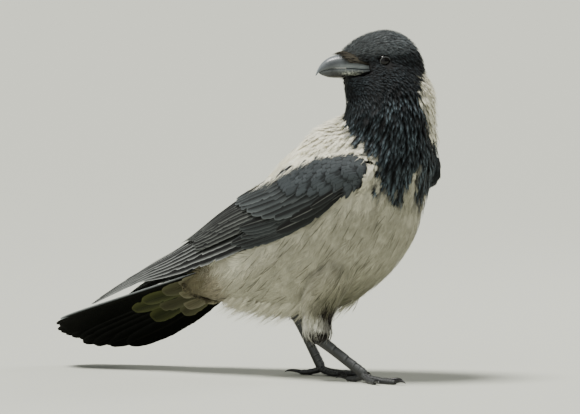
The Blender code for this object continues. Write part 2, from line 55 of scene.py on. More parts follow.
# ---------------------------------------------------------------- sizes shared with the CAD
HEAD_AT = np.array((39.0, -6.5, 287.0))
HEAD_BEARING = math.radians(-136.0)
HEAD_PITCH = math.radians(8.0)
EYE_AT = np.array((0.0, 13.5, 0.0))
EYE_RADIUS = 7.0
BILL_UPPER = (
    (14, 4.0, -5.2, 12.5), (20, 9.0, -4.2, 12.4), (28, 11.2, -2.2, 11.2), (37, 11.2, -0.7, 9.4),
    (43.8, 10.3, 0.1, 7.4), (49.3, 8.3, 0.1, 5.6), (54.1, 5.0, -0.7, 3.9), (57.7, 0.9, -2.0, 2.2),
    (60.2, -3.4, -4.6, 0.7),
)
BILL_LOWER = (
    (14, -5.8, -12.0, 12.0), (20, -4.8, -12.0, 11.6), (28, -2.8, -11.2, 10.2), (37, -1.3, -10.0, 8.2),
    (43.8, -0.5, -8.9, 6.3), (49.3, -0.5, -7.5, 4.6), (54.1, -1.3, -5.2, 2.8), (56.8, -2.2, -3.2, 1.0),
)
HEELS = {"right": np.array((-12.5, -28.0, 38.5)), "left": np.array((-66.0, 27.0, 54.0))}
FEET = {"right": np.array((33.5, -27.0, 8.0)), "left": np.array((-38.0, 23.0, 8.0))}
FOOT_BEARING = {"right": -12.0, "left": 6.0}
TOES = (("inner", 27, 26, 10), ("middle", 0, 38, 11), ("outer", -27, 28, 9), ("hind", 176, 20, 14))
TOE_RADIUS = 2.7
TOE_LIFT = 1.8
WING = (
    (60, -54, 185, -52, 197, 1),
    (34, -62, 167, -50, 205, 6),
    (0, -64, 146, -50.5, 200, 8),
    (-40, -61, 131, -42, 186, 8),
    (-80, -53, 119, -21, 172, 10),
    (-120, -45, 107, -5, 154, 8),
    (-166, -38, 95, -4, 121, 5),
    (-205, -33, 84.5, -21, 95, 2),
    (-258, -30, 60.0, -28.5, 62.0, 0),
)
LEFT_WRIST_FORWARD = 11.0
LEFT_TIP_UP = 1.0
TAIL_AT = np.array((-99.0, 4.7, 96.3))
TAIL_SLOPE = math.radians(20.0)
TAIL_ROLL = math.radians(32.0)


def slope(*knots):
    """A function that runs straight between (place, value) knots."""
    places, values = zip(*knots)
    return lambda at: np.interp(at, places, values)


TAIL_RIGHT = slope((0.0, 29.0), (190.0, 42.0))
TAIL_LEFT = slope((0.0, 7.0), (90.0, 34.0), (120.0, 40.5), (152.0, 42.0))
TAIL_TIPS = slope(
    (-1.0, 164.0), (-0.62, 200.0), (-0.43, 208.0), (0.0, 213.0), (0.38, 215.0), (0.8, 202.0), (1.0, 190.0)
)
COVERT_EDGE = slope((0.0, 30.0), (0.28, 28.0), (0.6, -24.0), (1.0, -46.0))
PRIMARY_TIPS = slope(
    (0.0, -200.0), (0.12, -243.0), (0.3, -257.0), (0.6, -246.0), (0.8, -226.0), (1.0, -190.0)
)
SECONDARY_TIPS = slope((0.3, -138.0), (0.6, -152.0), (0.85, -168.0), (1.0, -160.0))
GREATER_TIPS = slope((0.22, -36.0), (0.35, -53.0), (0.42, -66.0), (0.6, -86.0), (0.75, -96.0), (0.95, -104.0))


# ---------------------------------------------------------------- small geometry
def clamp(x):
    """x held between 0 and 1."""
    return np.clip(x, 0, 1)


def blend(a, b, share):
    """a where the share is 0, b where it is 1, and a mixture between."""
    return a * (1 - share) + b * share


def unit(v):
    """v over its length, along the last axis."""
    return v / np.maximum(np.linalg.norm(v, axis=-1, keepdims=True), 1e-9)


def turn(axis, angle):
    """A rotation matrix about a coordinate axis."""
    c, s = math.cos(angle), math.sin(angle)
    a, b = [(1, 2), (2, 0), (0, 1)]["xyz".index(axis)]
    m = np.eye(3)
    m[a, a] = m[b, b] = c
    m[a, b], m[b, a] = -s, s
    return m


HEAD_TURN = turn("z", HEAD_BEARING) @ turn("y", HEAD_PITCH)
TAIL_TURN = turn("z", math.pi) @ turn("y", TAIL_SLOPE) @ turn("x", TAIL_ROLL)


def from_head(p):
    """From the head's frame to the crow's."""
    return np.asarray(p, float) @ HEAD_TURN.T + HEAD_AT


def to_head(p):
    """From the crow's frame to the head's."""
    return (np.asarray(p, float) - HEAD_AT) @ HEAD_TURN


eye_low, eye_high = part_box("eye_left")
SHIFT = (np.array(eye_low) + np.array(eye_high)) / 2 * 1000 - from_head(EYE_AT)


def to_row(p):
    """Millimetres in the crow's frame to metres in the CAD's."""
    return (np.asarray(p, float) + SHIFT) * 0.001


def between_rows(rows, i, t):
    """Values on a smooth curve through the rows, a share t of the way from row i to the next one."""
    padded = np.vstack([2 * rows[0] - rows[1], rows, 2 * rows[-1] - rows[-2]])
    a, b, c, d = (padded[i + k] for k in range(4))
    return 0.5 * (2 * b + (c - a) * t + (2 * a - 5 * b + 4 * c - d) * t**2 + (3 * b - 3 * c + d - a) * t**3)


def curve_rows(table, count):
    """count rows on a smooth curve through the table's rows."""
    rows = np.array(table, float)
    at = np.linspace(0, len(rows) - 1, count)
    i = np.minimum(at.astype(int), len(rows) - 2)
    return between_rows(rows, i, (at - i)[:, None])


def row_at(table, x):
    """Rows of the table at x, its first column, which falls down the table."""
    rows = np.array(table, float)
    keys = rows[:, 0]
    x = np.asarray(x, float)
    i = np.clip(np.searchsorted(-keys, -x) - 1, 0, len(rows) - 2)
    t = clamp((x - keys[i]) / (keys[i + 1] - keys[i]))[..., None]
    return between_rows(rows[:, 1:], i, t)


def wing_surface(x, across):
    """Points on the right wing's outer surface."""
    low_y, low_z, top_y, top_z, bulge = np.moveaxis(row_at(WING, x), -1, 0)
    dy, dz = top_y - low_y, top_z - low_z
    size = np.sqrt(dy**2 + dz**2)
    out = bulge * np.sin(np.pi * across)
    y, z = low_y + dy * across - dz / size * out, low_z + dz * across + dy / size * out
    return np.stack([x, y, z], axis=-1)


def wing_point(side, x, across, height):
    """Points on a wing, height above its surface."""
    x, across, height = np.broadcast_arrays(np.asarray(x, float), across, height)
    at = wing_surface(x, across)
    along = wing_surface(x - 2, across) - wing_surface(x + 2, across)
    over = wing_surface(x, across + 0.02) - wing_surface(x, across - 0.02)
    at = at + unit(np.cross(over, along)) * height[..., None]
    if side == "left":
        share = (x - WING[-1][0]) / (WING[0][0] - WING[-1][0])
        ahead, up = LEFT_WRIST_FORWARD * share, LEFT_TIP_UP * (1 - share)
        at = np.stack([at[..., 0] + ahead, -at[..., 1], at[..., 2] + up], axis=-1)
    return at


def tail_point(along, across, height):
    """Points on the tail: along it, across it from its left edge (-1) to its right edge (1), and over it."""
    along, across, height = np.broadcast_arrays(np.asarray(along, float), across, height)
    width = np.where(across > 0, TAIL_RIGHT(along), TAIL_LEFT(along))
    local = np.stack([along, width * across, height + 3.0 - 7.0 * across**2], axis=-1)
    return local @ TAIL_TURN.T + TAIL_AT


GRAINS = np.random.default_rng(5).random(4096)


def speckle(p, size):
    """Smooth random values, 0 to 1, at points (..., 3), in grains of the size."""
    cell = np.floor(p / size).astype(int)
    t = p / size - cell
    t = t * t * (3 - 2 * t)
    value = 0.0
    for corner in np.ndindex(2, 2, 2):
        weight = np.prod(np.where(np.array(corner) == 1, t, 1 - t), axis=-1)
        value = value + weight * GRAINS[((cell + corner) @ (73, 179, 283)) % len(GRAINS)]
    return value


# ---------------------------------------------------------------- meshes and materials
def linear(r, g, b):
    """An sRGB colour, 0 to 255, as linear values."""
    c = np.array((r, g, b), float) / 255
    return np.where(c <= 0.04045, c / 12.92, ((c + 0.055) / 1.055) ** 2.4)


def new_object(name, points, faces, colours=None, vane=None, bake=None, finish=None):
    """A smooth object from points in the crow's frame and arrays of faces (quads and triangles)."""
    mesh = bpy.data.meshes.new(name)
    mesh.vertices.add(len(points))
    mesh.vertices.foreach_set("co", to_row(points).ravel())
    loops = np.concatenate([f.ravel() for f in faces])
    starts, at = [], 0
    for f in faces:
        starts.append(at + np.arange(len(f)) * f.shape[1])
        at += f.size
    mesh.loops.add(len(loops))
    mesh.loops.foreach_set("vertex_index", loops.astype(np.int32))
    mesh.polygons.add(sum(len(f) for f in faces))
    mesh.polygons.foreach_set("loop_start", np.concatenate(starts).astype(np.int32))
    mesh.update(calc_edges=True)
    for layer, values in (("OFBake", bake), ("Vane", vane)):
        if values is not None:
            mesh.uv_layers.new(name=layer).data.foreach_set("uv", values[loops].astype(np.float32).ravel())
    if colours is not None:
        rgba = np.ones((len(points), 4), np.float32)
        rgba[:, :3] = colours
        mesh.color_attributes.new("Col", "FLOAT_COLOR", "POINT").data.foreach_set("color", rgba.ravel())
    mesh.polygons.foreach_set("use_smooth", np.full(len(mesh.polygons), True))
    obj = bpy.data.objects.new(name, mesh)
    bpy.context.scene.collection.objects.link(obj)
    if finish:
        mesh.materials.append(finish)
    return obj


def dress(obj, slot, *nodes):
    """Lets the object ride on the body in place of the CAD's nodes. The slot is not used."""
    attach(obj, "root")
    if nodes:
        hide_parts(*nodes)


def joined(parts):
    """One set of points, faces and values per point from several such sets."""
    bases = np.cumsum([0] + [len(part[0]) for part in parts])
    faces = [np.concatenate([part[1][k] + base for part, base in zip(parts, bases)]) for k in (0, 1)]
    points, _, *values = zip(*parts)
    return np.concatenate(points), faces, *(np.concatenate(v) for v in values)


def grid_faces(rows, columns, closed=False):
    """Quads of a grid of rows x columns points."""
    r, c = np.meshgrid(np.arange(rows - 1), np.arange(columns if closed else columns - 1), indexing="ij")
    n = (c + 1) % columns
    row, above = r * columns, (r + 1) * columns
    return np.stack([row + c, row + n, above + n, above + c], axis=-1).reshape(-1, 4)


class Nodes:
    """A material and short hand for its nodes."""

    def __init__(self, name, roughness, specular=None):
        """A new material with plain values on its shader."""
        self.material = bpy.data.materials.new(name)
        self.material.use_nodes = True
        self.tree = self.material.node_tree
        self.shader = self.tree.nodes["Principled BSDF"]
        self.set("Roughness", roughness)
        if specular is not None:
            self.set("Specular IOR Level", specular)

    def add(self, kind, inputs, **settings):
        """A node of the kind, with its inputs and settings."""
        node = self.tree.nodes.new(kind)
        for key, value in settings.items():
            setattr(node, key, value)
        for key, value in inputs.items():
            self.put(node, key, value)
        return node

    def put(self, node, key, value):
        """A link or a plain value into a node's socket."""
        socket = node.inputs[key]
        if isinstance(value, bpy.types.NodeSocket):
            self.tree.links.new(value, socket)
        else:
            socket.default_value = value

    def set(self, key, value):
        """A link or a plain value into the shader's socket."""
        self.put(self.shader, key, value)

    def math(self, operation, *values):
        """The result of some arithmetic."""
        return self.add("ShaderNodeMath", dict(enumerate(values)), operation=operation).outputs[0]

    def vector(self, operation, *values):
        """The result of arithmetic on vectors."""
        return self.add("ShaderNodeVectorMath", dict(enumerate(values)), operation=operation).outputs[0]

    def place(self):
        """The place in the object."""
        return self.add("ShaderNodeTexCoord", {}).outputs["Object"]

    def noise(self, scale, detail, **inputs):
        """Soft noise, about 0.5 on average."""
        values = {"Scale": scale, "Detail": detail, **inputs}
        return self.add("ShaderNodeTexNoise", values).outputs["Fac"]

    def cracks(self, scale):
        """The distance to the middle of small cells."""
        return self.add("ShaderNodeTexVoronoi", {"Scale": scale}).outputs["Distance"]

    def ramp(self, value, low, high, first, last):
        """A value that runs from first to last while the given one runs from low to high."""
        return self.add("ShaderNodeMapRange", {"Value": value, 1: low, 2: high, 3: first, 4: last}).outputs[0]

    def grey(self, shade):
        """A grey of the shade."""
        return self.add("ShaderNodeCombineColor", {0: shade, 1: shade, 2: shade}).outputs[0]

    def point_colour(self, times=None):
        """The colour stored at the mesh's points, times another one, on the shader."""
        colour = self.add("ShaderNodeVertexColor", {}, layer_name="Col").outputs["Color"]
        if times is not None:
            inputs = {0: 1.0, 6: colour, 7: times}
            colour = self.add("ShaderNodeMix", inputs, data_type="RGBA", blend_type="MULTIPLY").outputs[2]
        self.set("Base Color", colour)

    def bump(self, height, strength, distance):
        """Relief from a height, on the shader."""
        inputs = {"Height": height, "Strength": strength, "Distance": distance}
        self.set("Normal", self.add("ShaderNodeBump", inputs).outputs["Normal"])


def feather_material(name, roughness, sheen, barbs, depth, specular, streaks, fine=14.0):
    """Feather vanes: their own colours, barbs slanting from the shaft, streaks along them and a sheen."""
    n = Nodes(name, roughness, specular)
    vane = n.add("ShaderNodeUVMap", {}, uv_map="Vane").outputs["UV"]
    split = n.add("ShaderNodeSeparateXYZ", {"Vector": vane})
    across, along = split.outputs["X"], split.outputs["Y"]
    side = n.math("ABSOLUTE", n.math("SUBTRACT", across, 0.5))
    slant = n.math("MULTIPLY_ADD", side, -0.7, along)
    wave = n.math("SINE", n.math("MULTIPLY", slant, barbs))
    place = n.place()
    broad = n.noise(38.0, 2.0, Vector=place)
    stretch = n.add("ShaderNodeCombineXYZ", {"X": slant, "Y": across}).outputs[0]
    grain_at = n.vector("MULTIPLY", stretch, (fine, fine * 0.3, 1.0))
    streak = n.noise(1.0, 3.0, Vector=n.vector("MULTIPLY_ADD", place, (60.0, 60.0, 60.0), grain_at))
    both = n.math("ADD", n.math("MULTIPLY_ADD", broad, 0.3, 0.35), streak)
    n.point_colour(n.grey(n.ramp(both, 0.75, 1.25, 1 - streaks, 1 + streaks)))
    n.bump(n.math("MULTIPLY_ADD", wave, 0.5, streak), depth, 0.0003)
    n.set("Sheen Weight", sheen)
    n.set("Sheen Roughness", 0.4)
    return n.material


# ---------------------------------------------------------------- the body's shape
def read(collection, key, kind):
    """Three values of every member of a mesh's collection, as rows."""
    values = np.empty(len(collection) * 3, kind)
    collection.foreach_get(key, values)
    return values.reshape(-1, 3)


def triangles(mesh):
    """The mesh's faces as triangles."""
    mesh.calc_loop_triangles()
    return read(mesh.loop_triangles, "vertices", np.int32)


def node_mesh(names, swell):
    """Points (crow's frame) and triangles of CAD nodes together, pushed out by swell."""
    points, tris, count = [], [], 0
    for name in names:
        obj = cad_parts[name]
        world = np.array(obj.matrix_world)
        at = read(obj.data.vertices, "co", float) @ world[:3, :3].T + world[:3, 3]
        points.append(at * 1000 - SHIFT + read(obj.data.vertices, "normal", np.float32) * swell)
        tris.append(triangles(obj.data) + count)
        count += len(at)
    return np.vstack(points), np.vstack(tris)


def remeshed(name, points, tris, voxel, relax):
    """One smooth closed mesh of the shapes' union: points and triangles."""
    obj = new_object(name, points, [tris])
    join = obj.modifiers.new("Union", "REMESH")
    join.mode = "VOXEL"
    join.voxel_size = voxel * 0.001
    smooth = obj.modifiers.new("Relax", "SMOOTH")
    smooth.factor = 0.5
    smooth.iterations = relax
    bpy.context.view_layer.update()
    mesh = bpy.data.meshes.new_from_object(obj.evaluated_get(bpy.context.evaluated_depsgraph_get()))
    bpy.data.objects.remove(obj)
    result = read(mesh.vertices, "co", float) * 1000 - SHIFT, triangles(mesh)
    bpy.data.meshes.remove(mesh)
    return result


def welded(points, tris):
    """Points merged where they coincide, so that normals run smoothly."""
    keys, back = np.unique(np.round(points, 3), axis=0, return_inverse=True)
    return keys, back.reshape(-1)[tris]


def vertex_normals(points, tris):
    """Area-weighted normals at the points."""
    face = np.cross(points[tris[:, 1]] - points[tris[:, 0]], points[tris[:, 2]] - points[tris[:, 0]])
    normals = np.zeros_like(points)
    for k in range(3):
        np.add.at(normals, tris[:, k], face)
    return unit(normals)


def search_tree(points, tris):
    """A tree that finds places on the triangles."""
    return BVHTree.FromPolygons(points.tolist(), tris.tolist())


class Surface:
    """A closed surface that feathers are laid on."""

    def __init__(self, points, tris):
        """The surface of the triangles."""
        self.points, self.tris = points, tris
        self.normals = vertex_normals(points, tris)
        self.tree = search_tree(points, tris)

    def nearest(self, p):
        """Nearest points and smooth normals."""
        found = [self.tree.find_nearest(q)[:3:2] for q in p]
        at = np.array([tuple(f[0]) for f in found])
        corners = self.tris[[f[1] for f in found]]
        gap = np.linalg.norm(self.points[corners] - at[:, None, :], axis=2)
        weight = 1.0 / (gap + 0.05)
        return at, unit((self.normals[corners] * weight[..., None]).sum(1))

    def scatter(self, spacing, inside, tries):
        """Random points at least spacing(p) apart where inside(p) holds."""
        a, b, c = (self.points[self.tris[:, k]] for k in range(3))
        area = np.linalg.norm(np.cross(b - a, c - a), axis=1) * inside((a + b + c) / 3)
        pick = RNG.choice(len(area), tries, p=area / area.sum())
        r = np.sqrt(RNG.random(tries))[:, None]
        q = RNG.random(tries)[:, None]
        p = a[pick] * (1 - r) + b[pick] * r * (1 - q) + c[pick] * r * q
        p = p[inside(p)]
        gap = np.broadcast_to(spacing(p), len(p))
        cell = float(gap.max())
        around = list(product((-1, 0, 1), repeat=3))
        grid, kept = {}, []
        cells_of = np.floor(p / cell).astype(int).tolist()
        for i, ((x, y, z), here, need) in enumerate(zip(cells_of, p.tolist(), gap.tolist())):
            near = (other for dx, dy, dz in around for other in grid.get((x + dx, y + dy, z + dz), ()))
            if all(far_apart(here, other, need) for other in near):
                grid.setdefault((x, y, z), []).append(here)
                kept.append(i)
        return p[kept]


def far_apart(a, b, need):
    """True for two points at least need apart."""
    return (b[0] - a[0]) ** 2 + (b[1] - a[1]) ** 2 + (b[2] - a[2]) ** 2 >= need * need


FLESH = ["head", "neck", "trunk", "thigh_left", "thigh_right"]
WING_NODES = ["arm", "greater_coverts", "secondaries", "primary_coverts", "primaries"]
guide_nodes = FLESH + [f"wing_{s}_{part}" for s in ("left", "right") for part in ("arm", "greater_coverts")]
GUIDE = Surface(*welded(*remeshed("guide", *node_mesh(guide_nodes, 0.9), 2.2, 6)))
WRIST_FRONT = 50.0


def wings_in_sight():
    """The wings' surface as a search tree, without the wrists' tips, which the breast's feathers cover."""
    points, tris = node_mesh([f"wing_{s}_{n}" for s in ("left", "right") for n in WING_NODES], 0.0)
    middle = points[tris].mean(1)
    front = WRIST_FRONT + np.where(middle[:, 1] > 0, LEFT_WRIST_FORWARD + 10.0, 0.0)
    return search_tree(points, tris[middle[:, 0] < front])


WINGS_TREE = wings_in_sight()

# The line that the plumage flows along, from the bill through head, neck and trunk to the tail.
SPINE = np.vstack([
    from_head([(48, 0, -2), (24, 0, -1), (2, 0, 0), (-12, 0, -7)]),
    [(48, -1, 258), (47, 0, 240), (43, 0, 222), (30, 0, 202), (8, 0, 178)],
    [(-22, 0, 150), (-60, 0, 124), (-110, 0, 104), (-165, 0, 84), (-205, 0, 70)],
])
SPINE_AT = np.concatenate([[0], np.cumsum(np.linalg.norm(np.diff(SPINE, axis=0), axis=1))])


def along_spine(p):
    """(direction of the spine, distance along it, offset from it) near the points."""
    a, b = SPINE[:-1], SPINE[1:]
    ab = b - a
    rel = p[:, None, :] - a[None]
    t = clamp((rel * ab).sum(-1) / (ab * ab).sum(-1))
    foot = a + t[..., None] * ab
    gap = np.linalg.norm(p[:, None, :] - foot, axis=2)
    weight = np.exp(-((gap - gap.min(1, keepdims=True)) / 9.0) ** 2)
    weight /= weight.sum(1, keepdims=True)
    direction = unit((weight[..., None] * unit(ab)).sum(1))
    place = (weight * (SPINE_AT[:-1] + t * np.diff(SPINE_AT))).sum(1)
    centre = (weight[..., None] * foot).sum(1)
    return direction, place, p - centre


def flow(p, normals):
    """The way that feathers at the points lie, from root to tip."""
    direction, place, offset = along_spine(p)
    head = clamp((SPINE_AT[3] - place) / 30)[:, None]
    down = np.zeros_like(p)
    trunk = clamp((place - SPINE_AT[6]) / 40)
    down[:, 2] = -0.30 * trunk
    way = direction + down + 0.45 * head * unit(offset)
    thigh = thigh_share(p)[:, None]
    way = way * (1 - thigh) + thigh * np.array((-0.12, 0.0, -1.0))
    way -= (way * normals).sum(1, keepdims=True) * normals
    return unit(way)


def thigh_share(p):
    """1 on the thighs, 0 on the trunk."""
    x, y, z = p.T
    right = (y < -16) * clamp((70 - z) / 10) * (np.abs(x + 9) < 22)
    left = (y > 12) * clamp((70 - z) / 8) * (np.abs(x + 62) < 16)
    return np.maximum(right, left)


# ---------------------------------------------------------------- markings
# The edges of the black hood round the neck, in degrees from the heading, by height: on the crow's right
# side, to which the head is turned, and on its left.
HOOD_RIGHT = slope(
    (177, -45), (184, -51), (193, -56), (206, -68), (213, -88), (222, -103), (231, -118),
    (238, -140), (246, -190), (254, -232), (262, -257), (272, -292), (280, -330),
)
HOOD_LEFT = slope(
    (182, 56), (196, 62), (205, 52), (213, 32), (219, 1), (226, -3), (235, -6),
    (244, -10), (253, -13), (262, -12), (269, -4), (275, 8), (280, 30),
)
BLACK = linear(19, 20, 21)
# Painted sheen: the black crown's top made paler grey, as where it catches the sky's light.
PAINTED_CROWN_SHEEN = linear(80, 84, 85)
GREY = linear(173, 170, 151)
# Painted light: the back paler grey, where it faces up to the light.
LIT_MANTLE = linear(242, 238, 217)
# Painted shade: the lower breast darker where it faces down, tinted olive by painted light thrown up from the
# ground.
SHADED_BELLY = linear(114, 112, 88)
THIGH = linear(236, 234, 222)
VENT = linear(138, 131, 112)
OLIVE = linear(108, 102, 80)
DARK_DOWN = linear(38, 33, 29)


# How low the bib reaches, by degrees round the neck from the heading: two lobes with a pale notch between.
BIB_LOW = slope(
    (-80, 190), (-56, 181), (-44, 175), (-36, 173), (-30, 166), (-25, 161), (-21, 163),
    (-19, 178), (-17, 188), (-13, 188), (-10, 178), (-7, 165), (-3, 159), (6, 160),
    (14, 168), (20, 160), (30, 164), (42, 171), (56, 181), (80, 190),
)


def hood(p):
    """Above 0 inside the black hood and bib, by how many degrees round the neck."""
    x, y, z = p.T
    local = to_head(p)
    axis_x = np.interp(z, (120, 150, 180, 205, 235, 260), (0, 10, 20, 34, 45, 47))
    bearing = np.degrees(np.arctan2(y, x - axis_x))
    right, left = HOOD_RIGHT(z), HOOD_LEFT(z)
    off = np.abs((bearing - (right + left) / 2 + 180) % 360 - 180)
    inside = np.minimum((left - right) / 2 - off, (z - BIB_LOW(bearing)) * np.where(z < 200, 0.8, 9.0))
    on_head = ((local[:, 0] > -12) | (z > 281)) & (local[:, 2] > -30) & (z > 262)
    return np.where(on_head, 60.0, inside)


def plumage(p, edge_shift):
    """The plumage's base colours at the points and how black it is, the hood's edge moved by some degrees. They
    hold painted light: a paler back, a paler sheen on the crown, and painted shade low on the breast.
    """
    x, y, z = p.T
    black = clamp((hood(p) + edge_shift) / 5 + 0.5)[:, None]
    # Painted light, paler over the back, and painted shade, darker low on the breast.
    back = clamp((z - 100 - (x + 60) * 0.55) / 40)[:, None]
    low = (clamp((115 - z) / 50) * clamp((x + 12) / 24))[:, None]
    grey = blend(blend(GREY, LIT_MANTLE, back), SHADED_BELLY, low)
    # Painted sheen, paler towards the top of the black crown.
    crown = (clamp((to_head(p)[:, 2] - 3) / 9) * clamp((z - 262) / 12))[:, None]
    colour = blend(grey, blend(BLACK, PAINTED_CROWN_SHEEN, crown), black)
    vent = (clamp((-88 - x) / 22) * clamp((114 - z) / 16))[:, None]
    colour = colour * (1 - vent) + VENT * vent * (0.6 + 0.8 * speckle(p, 7.0)[:, None])
    colour = blend(colour, OLIVE, clamp((-114 - x) / 20)[:, None])
    colour = blend(colour, THIGH, (thigh_share(p) * clamp((66 - z) / 14))[:, None])
    between_legs = clamp((x + 1.5 + (z - 60) * 0.12) / 5) * clamp((80 - z) / 12) * (x < 30) * (y < -14)
    right = (y < 0) * (clamp((50 - z) / 5) + between_legs)
    left = (y > 0) * clamp((72 - z) / 6) * (x < -46)
    brown = clamp(np.where(y < 0, right, left))[:, None] * (z < 86)[:, None]
    return blend(colour, DARK_DOWN, brown), black[:, 0]


def coat_depth(p):
    """How deep the coat lies over the skin at the points."""
    depth = np.interp(np.linalg.norm(to_head(p), axis=1), (20, 45, 80), (1.0, 2.0, 4.0))
    return np.where(thigh_share(p) > 0.5, 2.5, depth)


def unwrap(p):
    """A place on an unwrap of the body: round the spine and along it, each 0 to 1."""
    direction, place, offset = along_spine(p)
    side = unit(np.cross(direction, np.tile((0.0, 0.0, 1.0), (len(p), 1)) + 1e-3))
    up = np.cross(side, direction)
    angle = np.arctan2((offset * side).sum(1), (offset * up).sum(1))
    return np.stack([angle / (2 * math.pi) + 0.5, place / SPINE_AT[-1]], axis=1)


def spread(uv):
    """uv stretched over the whole map, with a margin."""
    low, high = uv.min(0), uv.max(0)
    return 0.01 + 0.98 * (uv - low) / np.maximum(high - low, 1e-9)


# ---------------------------------------------------------------- feathers
def laid(roots, lengths, steps, surface, turn_by=0.0, loose=0.0, hang=(0.0, 0.0, 0.0)):
    """Paths of feathers on a surface: points, normals and directions at steps+1 stations each.

    loose is how far a feather keeps its own way where the surface turns from under it, 0 to 1, and hang pulls
    its tip off the surface.
    """
    at, normal = surface.nearest(roots)
    points, normals, ways = [], [], []
    veer = np.broadcast_to(turn_by, len(roots))[:, None]
    for _ in range(steps + 1):
        way = flow(at, normal)
        way = unit(way * np.cos(veer) + np.cross(normal, way) * np.sin(veer))
        if ways and loose:
            way = unit(way * (1 - loose) + ways[-1] * loose + np.array(hang) / steps)
        points.append(at)
        normals.append(normal)
        ways.append(way)
        ahead = at + way * (lengths / steps)[:, None]
        at, normal = surface.nearest(ahead)
        at = at * (1 - loose) + ahead * loose
    return np.stack(points, 1), np.stack(normals, 1), np.stack(ways, 1)


def sample(stations, s):
    """Values between stations (feathers, stations, 3) at s (feathers, places), 0 to 1 and a little over."""
    last = stations.shape[1] - 1
    at = np.clip(s, 0, None) * last
    i = np.minimum(at.astype(int), last - 1)
    t = (at - i)[..., None]
    rows = np.arange(len(stations))[:, None]
    return stations[rows, i] * (1 - t) + stations[rows, i + 1] * t


def outline(s, width_at, taper):
    """A vane's half width at s as a share of its widest, at width_at: the higher taper, the blunter the tip."""
    s = clamp(s)
    rise = np.sin(np.pi / 2 * clamp(s / width_at)) ** 0.7
    fall = clamp(1 - clamp((s - width_at) / (1 - width_at)) ** taper) ** 0.6
    return rise * fall


# Of loose feathers: where along the shaft the barbs begin, how far they overlap, how much a vane cups and the
# size of a feather's patch on the map OFBake.
BARBS_FROM = 0.12
BARBS_OVERLAP = 1.5
VANE_CUP = 0.10
BAKE_PATCH = 0.003
# What colour_at gets for t on the shaft's own strip.
ON_SHAFT = -9.0


def barbed(
    paths, lengths, widths, pairs, colour_at, bake_at, rise, width_at, taper, reach=0.22, frizz=0.06, shaft=0.0
):
    """Loose feathers made of barbs: slivers that run out and forwards from the shaft, a narrow strip.

    rise(s) is the height over the guide surface in mm. colour_at(s, t) gives (feathers, places, 3) colours.
    """
    points, normals, ways = paths
    count = len(lengths)
    built, quads, tris = [], [], []

    def place(s, t):
        """Points at s along and t across each feather."""
        normal = unit(sample(normals, s))
        way = unit(sample(ways, s))
        beyond = np.clip(s - 1, 0, None)[..., None] * lengths[:, None, None]
        wide = widths[:, None] * t
        height = rise(s) - VANE_CUP * np.abs(wide)
        out = np.cross(normal, way) * wide[..., None]
        return sample(points, s) + way * beyond + out + normal * height[..., None]

    def add(s, t, at, colours, mirrored=False):
        """A strip of a quad and a triangle on each feather."""
        first = (len(built) * count + np.arange(count)[:, None]) * 5
        quads.append(first + np.array((1, 0, 2, 3) if mirrored else (0, 1, 3, 2)))
        tris.append(first + np.array((3, 2, 4) if mirrored else (2, 3, 4)))
        built.append((at, colours, np.stack([0.5 + t * 0.5, s], -1)))

    step = (1 - BARBS_FROM) / pairs
    half = step * 0.5 * BARBS_OVERLAP
    for j in range(pairs):
        share = (j + 0.5) / pairs
        s_root = np.full((count, 1), BARBS_FROM + step * j) + RNG.normal(0, step * 0.15, (count, 1))
        for sign in (-1, 1):
            s_tip = s_root + reach * (1 - 0.35 * share) + RNG.normal(0, frizz, (count, 1)) * 0.5
            wide = outline(np.clip(s_root + reach * 0.45, 0, 0.995), width_at, taper)
            wide = np.maximum(wide * (1 + RNG.normal(0, frizz * 1.5, (count, 1))), 0.05) * sign
            middle = (s_root + s_tip) / 2
            s = [s_root - half, s_root + half, middle - half * 0.9, middle + half * 0.9, s_tip]
            s = np.concatenate(s, 1)
            t = np.concatenate([0 * wide, 0 * wide, wide * 0.62, wide * 0.6, wide], 1)
            add(s, t, place(s, t), colour_at(s, t), sign > 0)
    shaft = np.broadcast_to(shaft, count)[:, None]
    if shaft.any():
        s = np.tile(np.array([[0.42, 0.42, 0.7, 0.7, 1.02]]), (count, 1))
        t = shaft / widths[:, None] * np.array([[-0.4, 0.4, -1.0, 1.0, 0.0]])
        over = np.maximum(0.12 - np.minimum(rise(s), 0.12), 0.0) + 1.0 - 0.4 * s
        at = place(s, t) + unit(sample(normals, s)) * over[..., None]
        add(s, t, at, colour_at(s, np.zeros_like(t) + ON_SHAFT))
    points, colours, vane = (np.concatenate(v).reshape(-1, v[0].shape[-1]) for v in zip(*built))
    owner = np.tile(np.repeat(np.arange(count), 5), len(built))
    bake = bake_at[owner] + (clamp(vane) - 0.5) * BAKE_PATCH
    return points, [np.concatenate(quads), np.concatenate(tris)], clamp(colours), vane, bake


def coat_piece(name, parts, finish, slot, *nodes):
    """One object from parts made by barbed() or vanes(), riding on the body."""
    dress(new_object(name, *joined(parts), finish), slot, *nodes)


def wing_beyond(points, ways, lift, reach):
    """True where a wing lies on the way from the points, from lift along it to the reach."""
    hits = [WINGS_TREE.ray_cast(Vector(p) + Vector(w) * lift, Vector(w), reach) for p, w in zip(points, ways)]
    return np.array([hit[0] is not None for hit in hits])


# The part of a folded wing that no feather of the body grows on: how far inside the wing's edges, from the
# body's middle plane, and how far forward.
WING_MARGIN = 3.0
FLANK_AT = 36.0
WRIST_FROM = 20.0


def on_the_wing(p):
    """True for points between the upper and the lower edge of a folded wing, behind its wrist."""
    table = np.array(WING)[::-1]
    x = p[:, 0] - np.where(p[:, 1] > 0, LEFT_WRIST_FORWARD, 0.0)
    low, high = (np.interp(x, table[:, 0], table[:, column]) for column in (2, 4))
    between = (p[:, 2] > low + WING_MARGIN) & (p[:, 2] < high - WING_MARGIN)
    return between & (np.abs(p[:, 1]) > FLANK_AT) & (x < WRIST_FROM)


def covered(p):
    """Millimetres from the points to the nearest wing."""
    return np.array([WINGS_TREE.find_nearest(q)[3] for q in p])


